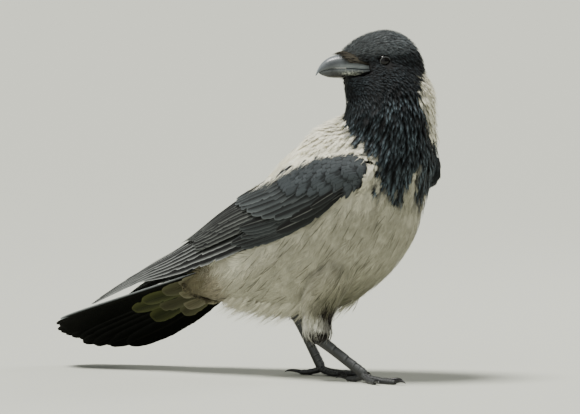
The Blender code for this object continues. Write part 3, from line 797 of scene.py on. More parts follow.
SILKY = feather_material(
    "silky_plumage", roughness=0.85, sheen=0.12, barbs=70.0, depth=0.2, specular=0.15, streaks=0.18
)
GLOSSY = feather_material(
    "glossy_plumage", roughness=0.6, sheen=0.0, barbs=60.0, depth=0.3, specular=0.16, streaks=0.3
)
WING_VANE = feather_material(
    "wing_vanes", roughness=0.6, sheen=0.03, barbs=330.0, depth=0.25, specular=0.22, streaks=0.14, fine=30.0
)
TAIL_VANE = feather_material(
    "tail_vanes", roughness=0.8, sheen=0.0, barbs=330.0, depth=0.25, specular=0.04, streaks=0.14, fine=30.0
)


def not_bill(p):
    """True for points off the bill's base and off the eyes."""
    x, y, z = to_head(p).T
    bill = (x > 26) & (z > -10.0) & (z < 12.5)
    chin = np.maximum(-6.5 - (x - 16.0) * 0.45, -10.0)
    bill |= (x > 16.0) & (z > chin) & (z < 2.5)
    eye_hole = (np.hypot(x - EYE_AT[0] - 0.9, z - EYE_AT[2]) < 5.0) & (np.abs(y) > 8)
    return ~bill & ~eye_hole


def free(p):
    """True for points of the body that neither a wing nor the bill nor an eye takes up."""
    return (covered(p) > 1.6) & not_bill(p) & ~on_the_wing(p)


def region(p):
    """How far along the spine the points are."""
    return along_spine(p)[1]


HEAD_END, NECK_END = SPINE_AT[4] - 4, SPINE_AT[7] - 2


def head_feathers():
    """Fine short tufts, longer on the throat."""
    roots = GUIDE.scatter(
        lambda p: np.interp(region(p), (0, 30, 60, 90), (1.0, 1.08, 1.25, 1.5)),
        lambda p: (region(p) < HEAD_END) & not_bill(p),
        26000,
    )
    place = region(roots)
    lengths = np.interp(place, (10, 35, 60, HEAD_END), (2.8, 3.8, 5.6, 8.0))
    lengths = lengths * RNG.uniform(0.85, 1.2, len(roots))
    local = to_head(roots)
    throat = clamp((-7 - local[:, 2]) / 5) * clamp((local[:, 0] - 10) / 8)
    lengths = lengths * (1 + 0.85 * throat)
    widths = lengths * RNG.uniform(0.16, 0.21, len(roots))
    stand = np.interp(place, (40, 75), (0.10, 0.45))
    return tufts(
        roots, lengths, widths, 6, 2, 7.0, taper=1.3, reach=0.4, frizz=0.1, stand=stand, painted_gloss_share=0.26
    )


def neck_feathers():
    """Pointed feathers of the neck and the bib."""

    def on_neck(p):
        """True for free points between the head and the trunk."""
        return (region(p) >= HEAD_END) & (region(p) < NECK_END) & free(p)

    roots = GUIDE.scatter(lambda p: np.interp(p[:, 2], (170, 250), (3.1, 2.3)), on_neck, 9000)
    ends = (HEAD_END, NECK_END)
    place = region(roots)
    lengths = np.interp(place, ends, (9.5, 17)) * RNG.uniform(0.8, 1.25, len(roots))
    stand = np.interp(place, ends, (0.4, 0.25))
    return tufts(roots, lengths, lengths * 0.18, 10, 3, 3.5, reach=0.36, stand=stand, root_shade=0.55)


def trunk_feathers():
    """Broader, silky feathers of the back and the two flanks, by the names of their pieces."""

    def on_trunk(p):
        """True for free points of the trunk."""
        return (region(p) >= NECK_END) & free(p) & (thigh_share(p) < 0.5)

    roots = GUIDE.scatter(lambda p: np.where(p[:, 2] > 150, 4.2, 4.4), on_trunk, 24000)
    upper = roots[:, 2] > 150 + (roots[:, 0] + 20) * 0.75
    right = roots[:, 1] < 0
    back = dict(width=0.23, shown=0.0, root_shade=0.8)
    flank = dict(width=0.2, shown=0.2, root_shade=0.74)
    for name, chosen, look in (
        ("back_feathers", upper, back),
        ("right_flank_feathers", ~upper & right, flank),
        ("left_flank_feathers", ~upper & ~right, flank),
    ):
        r = roots[chosen]
        lengths = np.interp(r[:, 0], (-160, -60, 60), (24, 32, 26)) * RNG.uniform(0.85, 1.2, len(r))
        lengths *= np.interp(r[:, 2], (70, 100, 150), (0.8, 1.1, 1.0))
        widths = lengths * look["width"] * np.interp(r[:, 0], (-110, -80), (1.7, 1.0))
        yield name, tufts(
            r, lengths, widths, 20, 4, 4.0, shaft=0.3, reach=0.42, frizz=0.1, shown=look["shown"],
            root_shade=look["root_shade"], uneven=0.1,
        )


def fringe_feathers():
    """Loose tips that hang from the belly's edge and from the tuft under the breast."""

    def on_fringe(p):
        """True on the belly's edge and on the tuft, off the thighs."""
        x, y, z = p.T
        edge = (x > -100) & (x < -26) & (y < -2) & (y > -34) & (z < 74)
        tuft = (x > -24) & (x < 14) & (y > 4) & (z < 88)
        return (edge | tuft) & (thigh_share(p) < 0.5)

    roots = GUIDE.scatter(lambda p: 2.8, on_fringe, 1500)
    lengths = RNG.uniform(14, 25, len(roots))
    return tufts(
        roots, lengths, lengths * 0.11, 12, 4, 4.0, reach=0.5, frizz=0.16, stand=0.5, loose=0.85,
        hang=(-0.35, -0.3, -0.9), uneven=0.2, bleach=0.4,
    )


def thigh_feathers():
    """Long wavy locks over short down."""
    roots = GUIDE.scatter(lambda p: 2.0, lambda p: (thigh_share(p) >= 0.5) & free(p), 6000)
    lengths = RNG.uniform(9, 16, len(roots))
    return tufts(
        roots, lengths, lengths * 0.08, 7, 3, 9.0, taper=1.3, reach=0.5, frizz=0.2, stand=0.5, loose=0.5,
        root_shade=0.36, uneven=0.22,
    )


def kept_by_the_wing(roots, paths, clear, steps):
    """Which feathers stay: those that neither end under a wing nor are cut to a stub by it."""
    ends_under = (covered(paths[0][:, -2]) < 1.3) & (covered(paths[0][:, -1]) < 1.3) & (roots[:, 0] < 70)
    stub = clear <= np.where(roots[:, 0] < 36, 2.5, 1.5) * steps / 4
    cut_beside_wing = (covered(roots) < 4.0) & (clear < steps) & (roots[:, 0] < 10)
    return ~ends_under & ~stub & ~cut_beside_wing


def tufts(
    roots, lengths, widths, pairs, steps, edge_jitter, taper=2.4, shaft=0.0, reach=0.22, frizz=0.06, stand=0.1,
    painted_gloss_share=0.75, loose=0.0, shown=0.7, hang=(0.0, 0.0, 0.0), root_shade=0.72, uneven=0.07, bleach=0.0,
):
    """Loose feathers on the body, cut short where a wing lies under them and coloured by the markings, with
    painted shade towards the roots and a painted highlight along black ones.
    """
    count = len(roots)
    veer = RNG.normal(0, 0.09, count)
    paths = laid(roots, lengths, steps, GUIDE, veer, loose, hang)
    clear = np.full(count, float(steps) + 0.3)
    for k in range(steps, 0, -1):
        clear = np.where(wing_beyond(paths[0][:, k], -paths[1][:, k], -1.5, 9.0), float(k), clear)
    trim = np.minimum((clear - 0.3) / steps, 1.0)
    lengths, widths = lengths * trim, widths * trim**0.5
    paths = laid(roots, lengths, steps, GUIDE, veer, loose, hang)
    keep = kept_by_the_wing(roots, paths, clear, steps)
    roots, lengths, widths = roots[keep], lengths[keep], widths[keep]
    paths = [p[keep] for p in paths]
    over_wing = (clamp(1.6 - covered(paths[0][:, -1])) * 0.6)[:, None]
    count = len(roots)
    middle = sample(paths[0], np.full((count, 1), 0.55))[:, 0]
    base, black = plumage(middle, RNG.normal(0, edge_jitter, count))
    base = blend(base, LIT_MANTLE, bleach)
    # On black feathers, more uneven towards the top of the head: painted streaks of glossy highlight on the
    # crown.
    uneven = uneven + 0.26 * black * np.clip((to_head(middle)[:, 2] + 4) / 8, 0.3, 1)
    base = base * np.clip(RNG.normal(1.0, uneven, count), 0.3, 1.8)[:, None]
    # A painted bluish highlight of the black feathers' gloss, stronger in patches and on some feathers.
    patchy = clamp(speckle(middle, 13.0) * 2.2 - 0.6)
    strength = np.clip(RNG.uniform(0.0, 0.9, count) ** 1.3 + 0.4 * patchy, 0, 1.25)[:, None]
    gloss = blend(base, linear(126, 144, 154) * strength, black[:, None])[:, None, :]
    shaft_shown = (RNG.random((count, 1, 1)) < shown) * 1.0
    streaks = np.where(black > 0.5, 0.0, shaft_shown[:, 0, 0])
    base, black = base[:, None, :], black[:, None, None]
    pale, shaft_tone = 1 - black, 0.3 + 0.3 * black
    line = base * (1 - (1 - shaft_tone) * (shaft_shown * pale + 1 - pale))

    def colour_at(s, t):
        """Painted shade at the root and, on black feathers, darker at the edge, with a painted highlight of
        their gloss along the middle.
        """
        s3 = clamp(s)[..., None]
        # Painted shade towards the root, where it lies under the feathers ahead.
        shaded = base * (root_shade + (1.08 - root_shade) * s3)
        shaded = shaded * (1 - 0.5 * clamp(np.abs(t) - 0.35)[..., None] * black)
        centre = clamp(1.1 - np.abs(t - 0.2) * 2.2)[..., None] * clamp(s3 * 2.4 - 0.9)
        shaded = shaded + (gloss - shaded) * painted_gloss_share * centre * black
        return np.where((t == ON_SHAFT)[..., None], line, shaded)

    deep = coat_depth(roots)[:, None] + 0.2
    lift = (np.abs(RNG.normal(0, 1, len(keep))) * stand)[keep][:, None] * deep

    def rise(s):
        """From the skin at the root to over the guide surface at the tip."""
        return -deep * clamp(1 - s) ** 1.2 + lift * np.clip(s, 0, 1.3) + over_wing * clamp(s)

    bake = spread(unwrap(roots))
    shaft = shaft * streaks
    return barbed(
        paths, lengths, widths, pairs, colour_at, bake, rise, width_at=0.5, taper=taper, reach=reach,
        frizz=frizz, shaft=shaft,
    )


coat_piece("head_feathers", [head_feathers()], GLOSSY, "black_plumage")
coat_piece("neck_feathers", [neck_feathers()], GLOSSY, "black_plumage")
for piece_name, piece in trunk_feathers():
    coat_piece(piece_name, [piece], SILKY, "grey_plumage")
coat_piece("fringe_feathers", [fringe_feathers()], SILKY, "grey_plumage")
coat_piece("thigh_feathers", [thigh_feathers()], SILKY, "grey_plumage")


# ---------------------------------------------------------------- whole feathers of wings and tail
def wing_span(x):
    """Millimetres from the wing's lower edge to its upper one."""
    low_y, low_z, top_y, top_z, _ = np.moveaxis(row_at(WING, x), -1, 0)
    return np.maximum(np.hypot(top_y - low_y, top_z - low_z), 3.0)


def tail_span(along):
    """Millimetres for one unit across the tail."""
    return (TAIL_RIGHT(along) + TAIL_LEFT(along)) / 2


VANE_COLUMNS = np.array((-1.0, -0.86, -0.6, -0.34, -0.12, -0.05, 0.0, 0.05, 0.12, 0.34, 0.6, 0.86, 1.0))
# What a row of whole feathers is like where it doesn't say otherwise. shown and hidden say where a vane passes
# under its neighbours, across it and along it; there its colour is painted shade.
USUAL_ROW = dict(
    rows=26, widest=0.45, taper=3.0, bend=1.0, splits=2, ragged=0.02, slant=0.55, ridge=0.3, rise=0.8,
    shingle=0.05, droop=0.010, tones=0.08, rim_from=0.8, rim_side=0.0, shown=1.0, hidden=0.1, over=None,
    floor=None,
)


def left_by_splits(g, s, t):
    """The share of a vane's width that its splits leave, on each side of the shaft."""
    notch = np.ones((len(s), g.rows, 2))
    for _ in range(g.splits):
        at = RNG.uniform(0.3, 0.97, (len(s), 1, 2))
        deep = RNG.uniform(0.0, 0.45, (len(s), 1, 2)) ** 1.3
        notch -= deep * clamp(1 - np.abs(s - at) * (g.rows - 1) / 1.3)
    return np.where(t < 0, notch[:, :, :1], notch[:, :, 1:])


def vane_colours(g, s, t):
    """Colours of the middle, the rim and the shaft, with painted shade where other feathers lie over the vane.
    """
    tone = RNG.normal(1, g.tones, (len(s), 1, 1, 1))
    middle, edge, quill = (np.array(c) for c in g.colours)
    rim = np.maximum(np.abs(t) * np.ones_like(s), clamp((s - 0.9) * 10) * 0.97)
    rim = clamp((rim - g.rim_from) / (1 - g.rim_from))[..., None] * (t * g.rim_side >= 0)[..., None]
    # Painted shade on the side that lies under the neighbouring feather and towards the root under the row
    # ahead.
    inner = clamp((t - g.shown + 0.3) / 0.3)[..., None] * 0.85
    bare = 0.35 + 0.65 * clamp((s[..., None] - g.hidden) / 0.22)
    colours = blend(middle * bare * (1 - inner) * tone, edge * tone, rim * bare)
    on_shaft = ((np.abs(t) < 0.06) * (1 - 0.3 * s))[..., None]
    return clamp(blend(colours, quill, on_shaft))


def vane_maps(s, t, size, first, total):
    """The barbs' map, and a map on which each of the total feathers has a cell of its own."""
    along = s * size[:, None, None] / 60 + 0 * t
    vane = np.stack([0.5 + 0.5 * t * np.ones_like(s), along], -1)
    across = int(math.ceil(math.sqrt(total * 3)))
    down = int(math.ceil(total / across))
    i = np.arange(first, first + len(s))
    corner = np.stack([i % across / across, i // across / down], -1)[:, None, None, :]
    local = np.stack([0.08 + 0.84 * (0.5 + 0.5 * t) + 0 * s, 0.04 + 0.92 * s + 0 * t], -1)
    return vane, corner + local * np.array((1 / across, 1 / down))


def vanes(place, span, group, first, total):
    """A row of whole feathers, each with a split vane on both sides of a raised shaft, under its neighbour.

    The group holds root and tip (each a place along and one across), width, height at root and rise to the
    tip, the vane's shape, and its colours: middle, edge, shaft.
    """
    g = SimpleNamespace(**{**USUAL_ROW, **group})
    root, tip = np.array(g.root, float), np.array(g.tip, float)
    count = len(root)
    width, height = (np.broadcast_to(np.array(v, float), count)[:, None, None] for v in (g.width, g.height))
    s = np.broadcast_to(np.linspace(0, 1, g.rows)[None, :, None], (count, g.rows, 1))
    t = VANE_COLUMNS[None, None, :]
    along = root[:, None, None, 0] + (tip - root)[:, None, None, 0] * s
    over = root[:, None, None, 1] + (tip - root)[:, None, None, 1] * s**g.bend
    scale = span(along)
    run = (tip - root)[:, 0]
    climb = (tip - root)[:, 1] * scale[:, g.rows // 2, 0]
    size = np.hypot(run, climb)
    e_along, e_over = (run / size)[:, None, None], (climb / size)[:, None, None]
    turn_side = -np.sign(run)[:, None, None]
    left = left_by_splits(g, s, t)
    ragged = 1 + RNG.normal(0, g.ragged, (count, g.rows, 1)) * np.abs(t)
    out = width * outline(s, g.widest, g.taper) * t * (1 - (1 - left) * np.abs(t) ** 2) * ragged
    ahead = g.slant * np.abs(out) ** 1.1 * clamp(s * 4)
    u = along + e_along * ahead + turn_side * e_over * out
    a = over + (e_over * ahead - turn_side * e_along * out) / scale
    shaft = (np.abs(t) < 0.01) * g.ridge * (1.1 - s)
    lift = g.rise * s**1.6 + np.abs(RNG.normal(0, 0.12, (count, 1, 1))) * s
    height = height + lift - g.shingle * out + shaft
    height = height - g.droop * out**2 * clamp(s * 3)
    if g.over:
        height = height + g.over(u, a)
    if g.floor:
        height = g.floor(u, a) - height
    points = place(u, a, height)
    colours = vane_colours(g, s, t)
    vane, bake = vane_maps(s, t, size, first, total)
    shape = (g.rows, len(VANE_COLUMNS))
    starts = np.arange(count)[:, None, None] * shape[0] * shape[1]
    quads = (grid_faces(*shape)[None] + starts).reshape(-1, 4)
    flat = [v.reshape(-1, v.shape[-1]) for v in (colours, vane, bake)]
    return points.reshape(-1, 3), [quads, np.empty((0, 3), int)], *flat


def feather_piece(name, place, span, groups, finish, slot, *nodes):
    """One piece from rows of whole feathers, each feather with its own cell on the piece's map."""
    counts = [len(g["root"]) for g in groups]
    firsts = np.cumsum([0] + counts)
    built = [vanes(place, span, group, first, sum(counts)) for group, first in zip(groups, firsts)]
    coat_piece(name, built, finish, slot, *nodes)


def pairs_of(a, b):
    """Two columns side by side."""
    a, b = np.broadcast_arrays(np.asarray(a, float), np.asarray(b, float))
    return np.stack([a, b], -1)


def jitter(size, shape):
    """Random values about 0."""
    return RNG.normal(0, size, shape)


# Middle, edge and shaft of the wing's feathers. The scale feathers' dark edge is a painted shadow line along
# their rims; the flight feathers' pale edges are painted glints.
SLATE = (linear(60, 65, 66), linear(96, 102, 102), linear(24, 27, 28))
SCALE_FEATHER = (linear(62, 68, 71), linear(11, 12, 13), linear(48, 53, 56))
SLATE_DARK = (linear(34, 38, 39), linear(72, 77, 76), linear(84, 87, 84))
FLIGHT = (linear(16, 17, 17), linear(114, 118, 114), linear(9, 10, 11))
PRIMARY = (linear(14, 15, 15), linear(168, 172, 169), linear(9, 9, 10))


def arm_swell(u, across):
    """How far the small coverts swell over the wing's surface."""
    rim = np.sin(math.pi * clamp(across)) ** 0.5
    share = clamp((59.0 - u) / np.maximum(59.0 - COVERT_EDGE(across), 8.0))
    return 3.4 * rim * np.sin(math.pi * np.minimum(share * 2.2, 1.0) / 2) ** 0.6 * (1 - share) ** 1.3


def wing_front(across):
    """How far forward the wing reaches at a place across it."""
    return np.interp(across, (0.0, 0.1, 0.28, 0.7, 0.92, 1.05), (32.0, 43.0, 52.5, 52.5, 46.0, 33.0))


def primaries():
    """Nine long primaries, the innermost row."""
    tip = np.linspace(0.02, 0.96, 9)
    return dict(
        root=pairs_of(-46.0, np.linspace(0.08, 0.66, 9)), tip=pairs_of(PRIMARY_TIPS(tip), tip), colours=PRIMARY,
        width=np.linspace(6.8, 8.2, 9), height=np.linspace(-5.2, -3.4, 9), rows=64, rise=0.4, widest=0.3,
        taper=3.2, splits=3, shingle=0.06, slant=0.8, shown=-0.2,
    )


def secondaries():
    """Ten secondaries and tertials."""
    tip = np.linspace(0.27, 0.84, 10)
    return dict(
        root=pairs_of(-38.0, np.linspace(0.36, 1.0, 10)),
        tip=pairs_of(SECONDARY_TIPS(tip) + jitter(1.5, 10), tip),
        width=np.linspace(7.0, 9.0, 10), height=np.linspace(-2.9, -1.2, 10), rows=48, rise=0.5, widest=0.3,
        taper=3.6, splits=3, shingle=0.07, slant=0.7, shown=-0.2, colours=FLIGHT,
    )


def primary_coverts():
    """Seven coverts along the wing's lower edge."""
    tip = np.linspace(0.0, 0.27, 7)
    ends = np.interp(tip, (0, 0.09, 0.16, 0.27), (-78.0, -91.0, -72.0, -82.0))
    return dict(
        root=pairs_of(4.0, np.linspace(0.03, 0.3, 7)), tip=pairs_of(ends, tip), width=5.6,
        height=np.linspace(-2.1, -1.3, 7), rows=36, rise=0.9, widest=0.35, taper=3.4, shown=-0.3,
        colours=SLATE_DARK,
    )


def greater_coverts():
    """Nine coverts over the secondaries' roots."""
    tip = np.linspace(0.25, 0.93, 9)
    root = pairs_of(COVERT_EDGE(np.linspace(0.3, 1.0, 9)) + 12.0, np.linspace(0.33, 1.02, 9))
    return dict(
        root=root, tip=pairs_of(GREATER_TIPS(tip) + jitter(1.2, 9), tip), width=np.linspace(6.2, 7.8, 9),
        height=np.linspace(-0.6, 0.2, 9), rows=34, rise=0.9, widest=0.35, taper=3.6, shingle=0.08, shown=-0.25,
        colours=SLATE,
    )


def alula():
    """Three feathers of the thumb."""
    return dict(
        root=pairs_of((34.0, 32.0, 36.0), (0.10, 0.17, 0.22)),
        tip=pairs_of((-36.0, -20.0, 2.0), (0.045, 0.13, 0.19)),
        width=(6.6, 5.2, 4.2), height=(-0.4, 0.0, 0.3), rows=36, rise=0.9, widest=0.4, taper=3.4, shingle=0.07,
        shown=0.1, colours=(linear(19, 21, 21), linear(56, 60, 59), linear(96, 98, 94)),
    )


def median_coverts():
    """Ten coverts over the greater ones' roots."""
    tip = np.linspace(0.3, 0.98, 10)
    edge = COVERT_EDGE(tip) - 2.0
    return dict(
        root=pairs_of(edge + 21.0, tip + 0.05), tip=pairs_of(edge + jitter(0.8, 10), tip), width=6.6,
        height=np.linspace(0.2, 0.7, 10), rows=20, rise=0.45, widest=0.5, taper=3.8, shingle=0.03, shown=0.5,
        hidden=0.3, colours=SCALE_FEATHER,
    )


def lesser_coverts():
    """Scale feathers in staggered rows over the forearm, up to the wing's front."""
    places = []
    for row in range(1, 13):
        for k in range(12):
            across = 0.03 + 0.118 * (k + 0.5 * (row % 2)) + jitter(0.006, None)
            at = float(COVERT_EDGE(across)) - 1.0 + 7.2 * row + jitter(0.5, None)
            front = wing_front(across)
            if across < 1.02 and at < front - 3.0:
                places.append((min(at + 13.0, front + 1.0), across + 0.04, at, across, 0.35 + 0.05 * row))
    places = np.array(places)
    return dict(
        root=places[:, :2], tip=places[:, 2:4], width=5.2, height=places[:, 4], rows=14, rise=0.35, widest=0.5,
        taper=3.6, shingle=0.02, splits=1, over=arm_swell, shown=1.2, hidden=0.25, rim_from=0.78, tones=0.1,
        colours=SCALE_FEATHER,
    )


def wing_feathers(side):
    """One wing's flight feathers and its coverts, with the innermost rows first."""

    def place(u, across, height):
        """Points on this wing."""
        return wing_point(side, u, across, height)

    flight = [primaries(), secondaries()]
    coverts = [primary_coverts(), greater_coverts(), alula(), median_coverts(), lesser_coverts()]
    for name, rows, slot, nodes in (
        ("flight_feathers", flight, "flight_feathers", ("primaries", "secondaries")),
        ("covert_feathers", coverts, "wing_coverts", ("primary_coverts", "greater_coverts", "alula")),
    ):
        nodes = [f"wing_{side}_{node}" for node in nodes]
        feather_piece(f"wing_{side}_{name}", place, wing_span, rows, WING_VANE, slot, *nodes)


def swollen(p):
    """Points of the left wrist, its front swollen up and down."""
    swell = clamp((p[..., :1] - 48.0) / 14.0) * 0.4 * (p[..., 2:] - 190.0)
    return np.concatenate([p[..., :2], p[..., 2:] + swell], -1)


def drawn_back(p):
    """Points of the right wrist, drawn back to end at the coverts."""
    x, limit = p[..., :1], WRIST_FRONT - 2.0
    return np.concatenate([np.where(x > limit, limit + (x - limit) * 0.35, x), p[..., 1:]], -1)


def laid_along(surface, roots, lengths, toward):
    """Paths of feathers on a surface that all point one way: points, normals and directions at 4 stations."""
    at, normal = surface.nearest(roots)
    stations = []
    for _ in range(4):
        way = np.tile(toward, (len(at), 1))
        way = unit(way - (way * normal).sum(1, keepdims=True) * normal)
        stations.append((at, normal, way))
        at, normal = surface.nearest(at + way * (lengths / 3)[:, None])
    return [np.stack(values, 1) for values in zip(*stations)]


def wing_skin(side, arm):
    """The skin of the wrist and forearm, under the coverts: slate, with a pale front on the right wrist."""
    n = Nodes(f"wing_{side}_skin", 0.75)
    n.point_colour()
    n.bump(n.noise(600.0, 4.0), 0.5, 0.0004)
    front = clamp((arm.points[:, :1] - WRIST_FRONT + 3.0) / 4.0) * (side == "right")
    under = arm.points - arm.normals * (0.9 + 1.6 * front)
    if side == "left":
        under = swollen(under)
    colours = blend(linear(44, 48, 52), plumage(arm.points, 0.0)[0], front)
    uv = spread(np.stack([arm.points[:, 0] * 0.9 + np.sign(arm.normals[:, 1]) * 90, arm.points[:, 2]], -1))
    skin_object = new_object(f"wing_{side}_skin", under, [arm.tris], colours, bake=uv, finish=n.material)
    dress(skin_object, "wing_coverts", f"wing_{side}_arm")


def from_the_side(p, normals):
    """A map of points seen from the side, with the wing's inner face beside its outer one."""
    return spread(np.stack([p[:, 0] + np.sign(normals[:, 1]) * 80, p[:, 2]], -1)) * 0.98


def rim_scales(side, arm):
    """Small dark scale feathers round the wing's front rim."""
    forward = LEFT_WRIST_FORWARD if side == "left" else 0
    roots = arm.scatter(lambda p: 3.4, lambda p: p[:, 0] - forward > 46, 6000)
    lengths = np.interp(roots[:, 0], (0, 60), (11.0, 8.0)) * RNG.uniform(0.9, 1.15, len(roots))
    paths = laid_along(arm, roots, lengths, (-0.8, 0.0, -0.45))
    tone = RNG.normal(1, 0.1, (len(roots), 1, 1))

    def slate(s, _):
        """Slate, paler towards the tip."""
        return linear(40, 44, 47) * tone * (0.8 + 0.3 * s[..., None])

    bake = from_the_side(roots, paths[1][:, -1])
    widths = lengths * 0.36
    points, *rest = barbed(
        paths, lengths, widths, 8, slate, bake, lambda s: -0.5 + 1.6 * s, 0.55, 3.0, frizz=0.04
    )
    return swollen(points) if side == "left" else drawn_back(points), *rest


def wrist_feathers(arm):
    """Pale feathers that hang over the right wrist's front."""
    roots = arm.scatter(lambda p: 2.2, lambda p: p[:, 0] > WRIST_FRONT + 3.0, 6000)
    lengths = RNG.uniform(7.0, 11.0, len(roots))
    paths = laid_along(arm, roots, lengths, (-0.25, 0.0, -1.0))
    base = plumage(paths[0][:, 2], 0.0)[0] * RNG.normal(1, 0.07, (len(roots), 1))

    def pale(s, _):
        """The plumage's colour, paler towards the tip."""
        return base[:, None] * (0.78 + 0.3 * s[..., None])

    bake = from_the_side(roots, paths[1][:, 0])
    widths = lengths * 0.2
    return barbed(
        paths, lengths, widths, 16, pale, bake, lambda s: -0.4 + 1.8 * s, 0.5, 2.4, reach=0.42, frizz=0.1
    )


def wing_arm(side):
    """The wrist and forearm under the coverts, and the small feathers round their front rim."""
    arm = Surface(*welded(*remeshed("arm_form", *node_mesh([f"wing_{side}_arm"], 0.0), 1.2, 3)))
    wing_skin(side, arm)
    parts = [rim_scales(side, arm)]
    if side == "right":
        parts.append(wrist_feathers(arm))
    coat_piece(f"wing_{side}_rim_feathers", parts, WING_VANE, "wing_coverts")


def tail_row():
    """Twelve tail feathers, the middle pair on top and the outermost with a pale rim painted as a highlight
    along the tail's edge.
    """
    across = np.linspace(-0.78, 0.78, 12)
    tips = TAIL_TIPS(across * 1.2) - 2.0 + jitter(1.8, 12)
    rims_and_highlight = np.tile(linear(24, 25, 23), (12, 1, 1, 1))
    # Painted highlight: the outermost feather's rim pale, where the tail's edge catches the light; the other
    # rims are dark.
    rims_and_highlight[-1] = linear(186, 191, 198)
    return dict(
        root=pairs_of(6.0, across * 0.78), tip=pairs_of(tips, across * 1.03), width=10.4,
        height=0.8 - 0.42 * np.abs(np.arange(12) - 5.5), rows=56, rise=0.0, widest=0.5, taper=4.5, ragged=0.012,
        shingle=0.0, rim_side=1.0, rim_from=0.5, colours=(linear(6, 7, 4), rims_and_highlight, linear(20, 20, 16)),
        slant=0.5, ridge=-0.3, droop=0.004, bend=0.8,
    )


def uppertail_row(row):
    """Seven soft coverts over the tail's root."""
    across = np.linspace(-0.85, 0.85, 7) + 0.06 * (row % 2)
    tips = 84.0 - 15.0 * row - 14 * np.abs(across) ** 2 + jitter(1.5, 7)
    # The longest rows are tinged dark; all rows are also painted darker with the shade under the wings and
    # rump.
    tinge_and_shade = linear(30, 32, 33) if row < 3 else linear(70, 70, 66)
    return dict(
        root=pairs_of(np.maximum(tips - 44.0, -30.0), across * 0.8), tip=pairs_of(tips, across), width=8.5,
        height=2.2 + 0.8 * row, rows=18, rise=0.5, widest=0.6, splits=4, ragged=0.05, shingle=0.0,
        colours=(tinge_and_shade, tinge_and_shade * 1.2, tinge_and_shade * 0.6), tones=0.12,
    )


# Tips of the long coverts under the tail, along it and across it: the longest row lies innermost.
UNDERTAIL_TIPS = (
    ((131.0, 0.13), (124.0, -0.36), (114.0, 0.34)),
    ((106.0, -0.10), (93.0, -0.56), (88.0, 0.48)),
    ((84.0, -0.38), (76.0, 0.16), (66.0, 0.60)),
    ((62.0, -0.56), (60.0, -0.12), (49.0, 0.52)),
    ((45.0, 0.20), (43.0, -0.44), (34.0, 0.52)),
    ((30.0, -0.12), (27.0, -0.50), (24.0, 0.28)),
)


def below_tail(u, a):
    """The height of the undertail's own surface, under the tail's."""
    return -1.8 - 9.0 * clamp(1 - u / 128.0) ** 1.1 * np.clip(1.1 - 0.8 * np.abs(a + 0.04) ** 2 * 2.4, 0.2, 1)


def undertail_row(row):
    """Three long rounded coverts, dark olive at the tail's end and tan towards the body; the dark olive is
    painted shade with a painted green reflection.
    """
    tips, across = np.array(UNDERTAIL_TIPS[row]).T
    # Painted shade and a painted green reflection, strongest on the rows towards the tail's end.
    light = clamp((row - 0.5) / 3.5)
    olive = blend(linear(35, 38, 12), linear(124, 117, 94), light)
    rim = blend(linear(64, 67, 34), linear(156, 149, 128), light)
    return dict(
        root=pairs_of(np.maximum(tips - 50.0, -8.0), across * 0.86), tip=pairs_of(tips, across), width=8.6,
        height=0.3 + 0.5 * row, rows=30, rise=1.0, widest=0.62, taper=2.0, splits=1, shingle=0.1,
        colours=(olive, rim, olive * 0.7), rim_from=0.4, floor=below_tail, ridge=0.2, tones=0.16,
    )


def tail_feathers():
    """The tail and the soft coverts over and under its root."""
    feather_piece("tail_feathers", tail_point, tail_span, [tail_row()], TAIL_VANE, "flight_feathers", "tail")
    upper = [uppertail_row(row) for row in range(6)]
    under = [undertail_row(row) for row in range(len(UNDERTAIL_TIPS))]
    for name, rows, nodes in (("uppertail", upper, ()), ("undertail", under, ("undertail_coverts",))):
        feather_piece(f"{name}_feathers", tail_point, tail_span, rows, SILKY, "grey_plumage", *nodes)


for wing_side in ("left", "right"):
    wing_feathers(wing_side)
    wing_arm(wing_side)
tail_feathers()


# ---------------------------------------------------------------- bill, bristles and eyes
def bill_at(table, upper, f, angle, proud=0.0):
    """Points on half of the bill in the head's frame: f along it, angle 0 to pi over it from its left."""
    back = row_at([(-x, *rest) for x, *rest in table], -np.clip(f, table[0][0], table[-1][0]))
    first, second, half = np.moveaxis(back, -1, 0)
    edge, crest = (second, first) if upper else (first, second)
    rise = np.sin(angle) ** 0.75
    point = np.stack([f + 0 * angle, (half + proud) * np.cos(angle), edge + (crest - edge) * rise], -1)
    point[..., 2] += proud * rise * (1 if upper else -1)
    return point


def horn_material():
    """Dark horn: faint lines of growth, scuffs and worn edges over a soft gloss."""
    n = Nodes("horn", 0.5, 0.55)
    place = n.place()
    scuffs = n.noise(420.0, 6.0, Vector=place, Roughness=0.7)
    n.point_colour(n.grey(n.ramp(n.noise(90.0, 2.0, Vector=place), 0.3, 0.7, 0.75, 1.25)))
    n.set("Roughness", n.ramp(scuffs, 0.35, 0.75, 0.24, 0.5))
    n.bump(scuffs, 0.25, 0.0001)
    return n.material


HORN = horn_material()


def end_fans(rings, sides, start_point, end_point):
    """Triangles that close the start and the end of a tube of rings, each round a point of its own."""
    k = np.arange(sides)
    ahead = (k + 1) % sides
    last = (rings - 1) * sides
    start = np.stack([ahead, k, np.full(sides, start_point)], -1)
    return start, np.stack([last + k, last + ahead, np.full(sides, end_point)], -1)


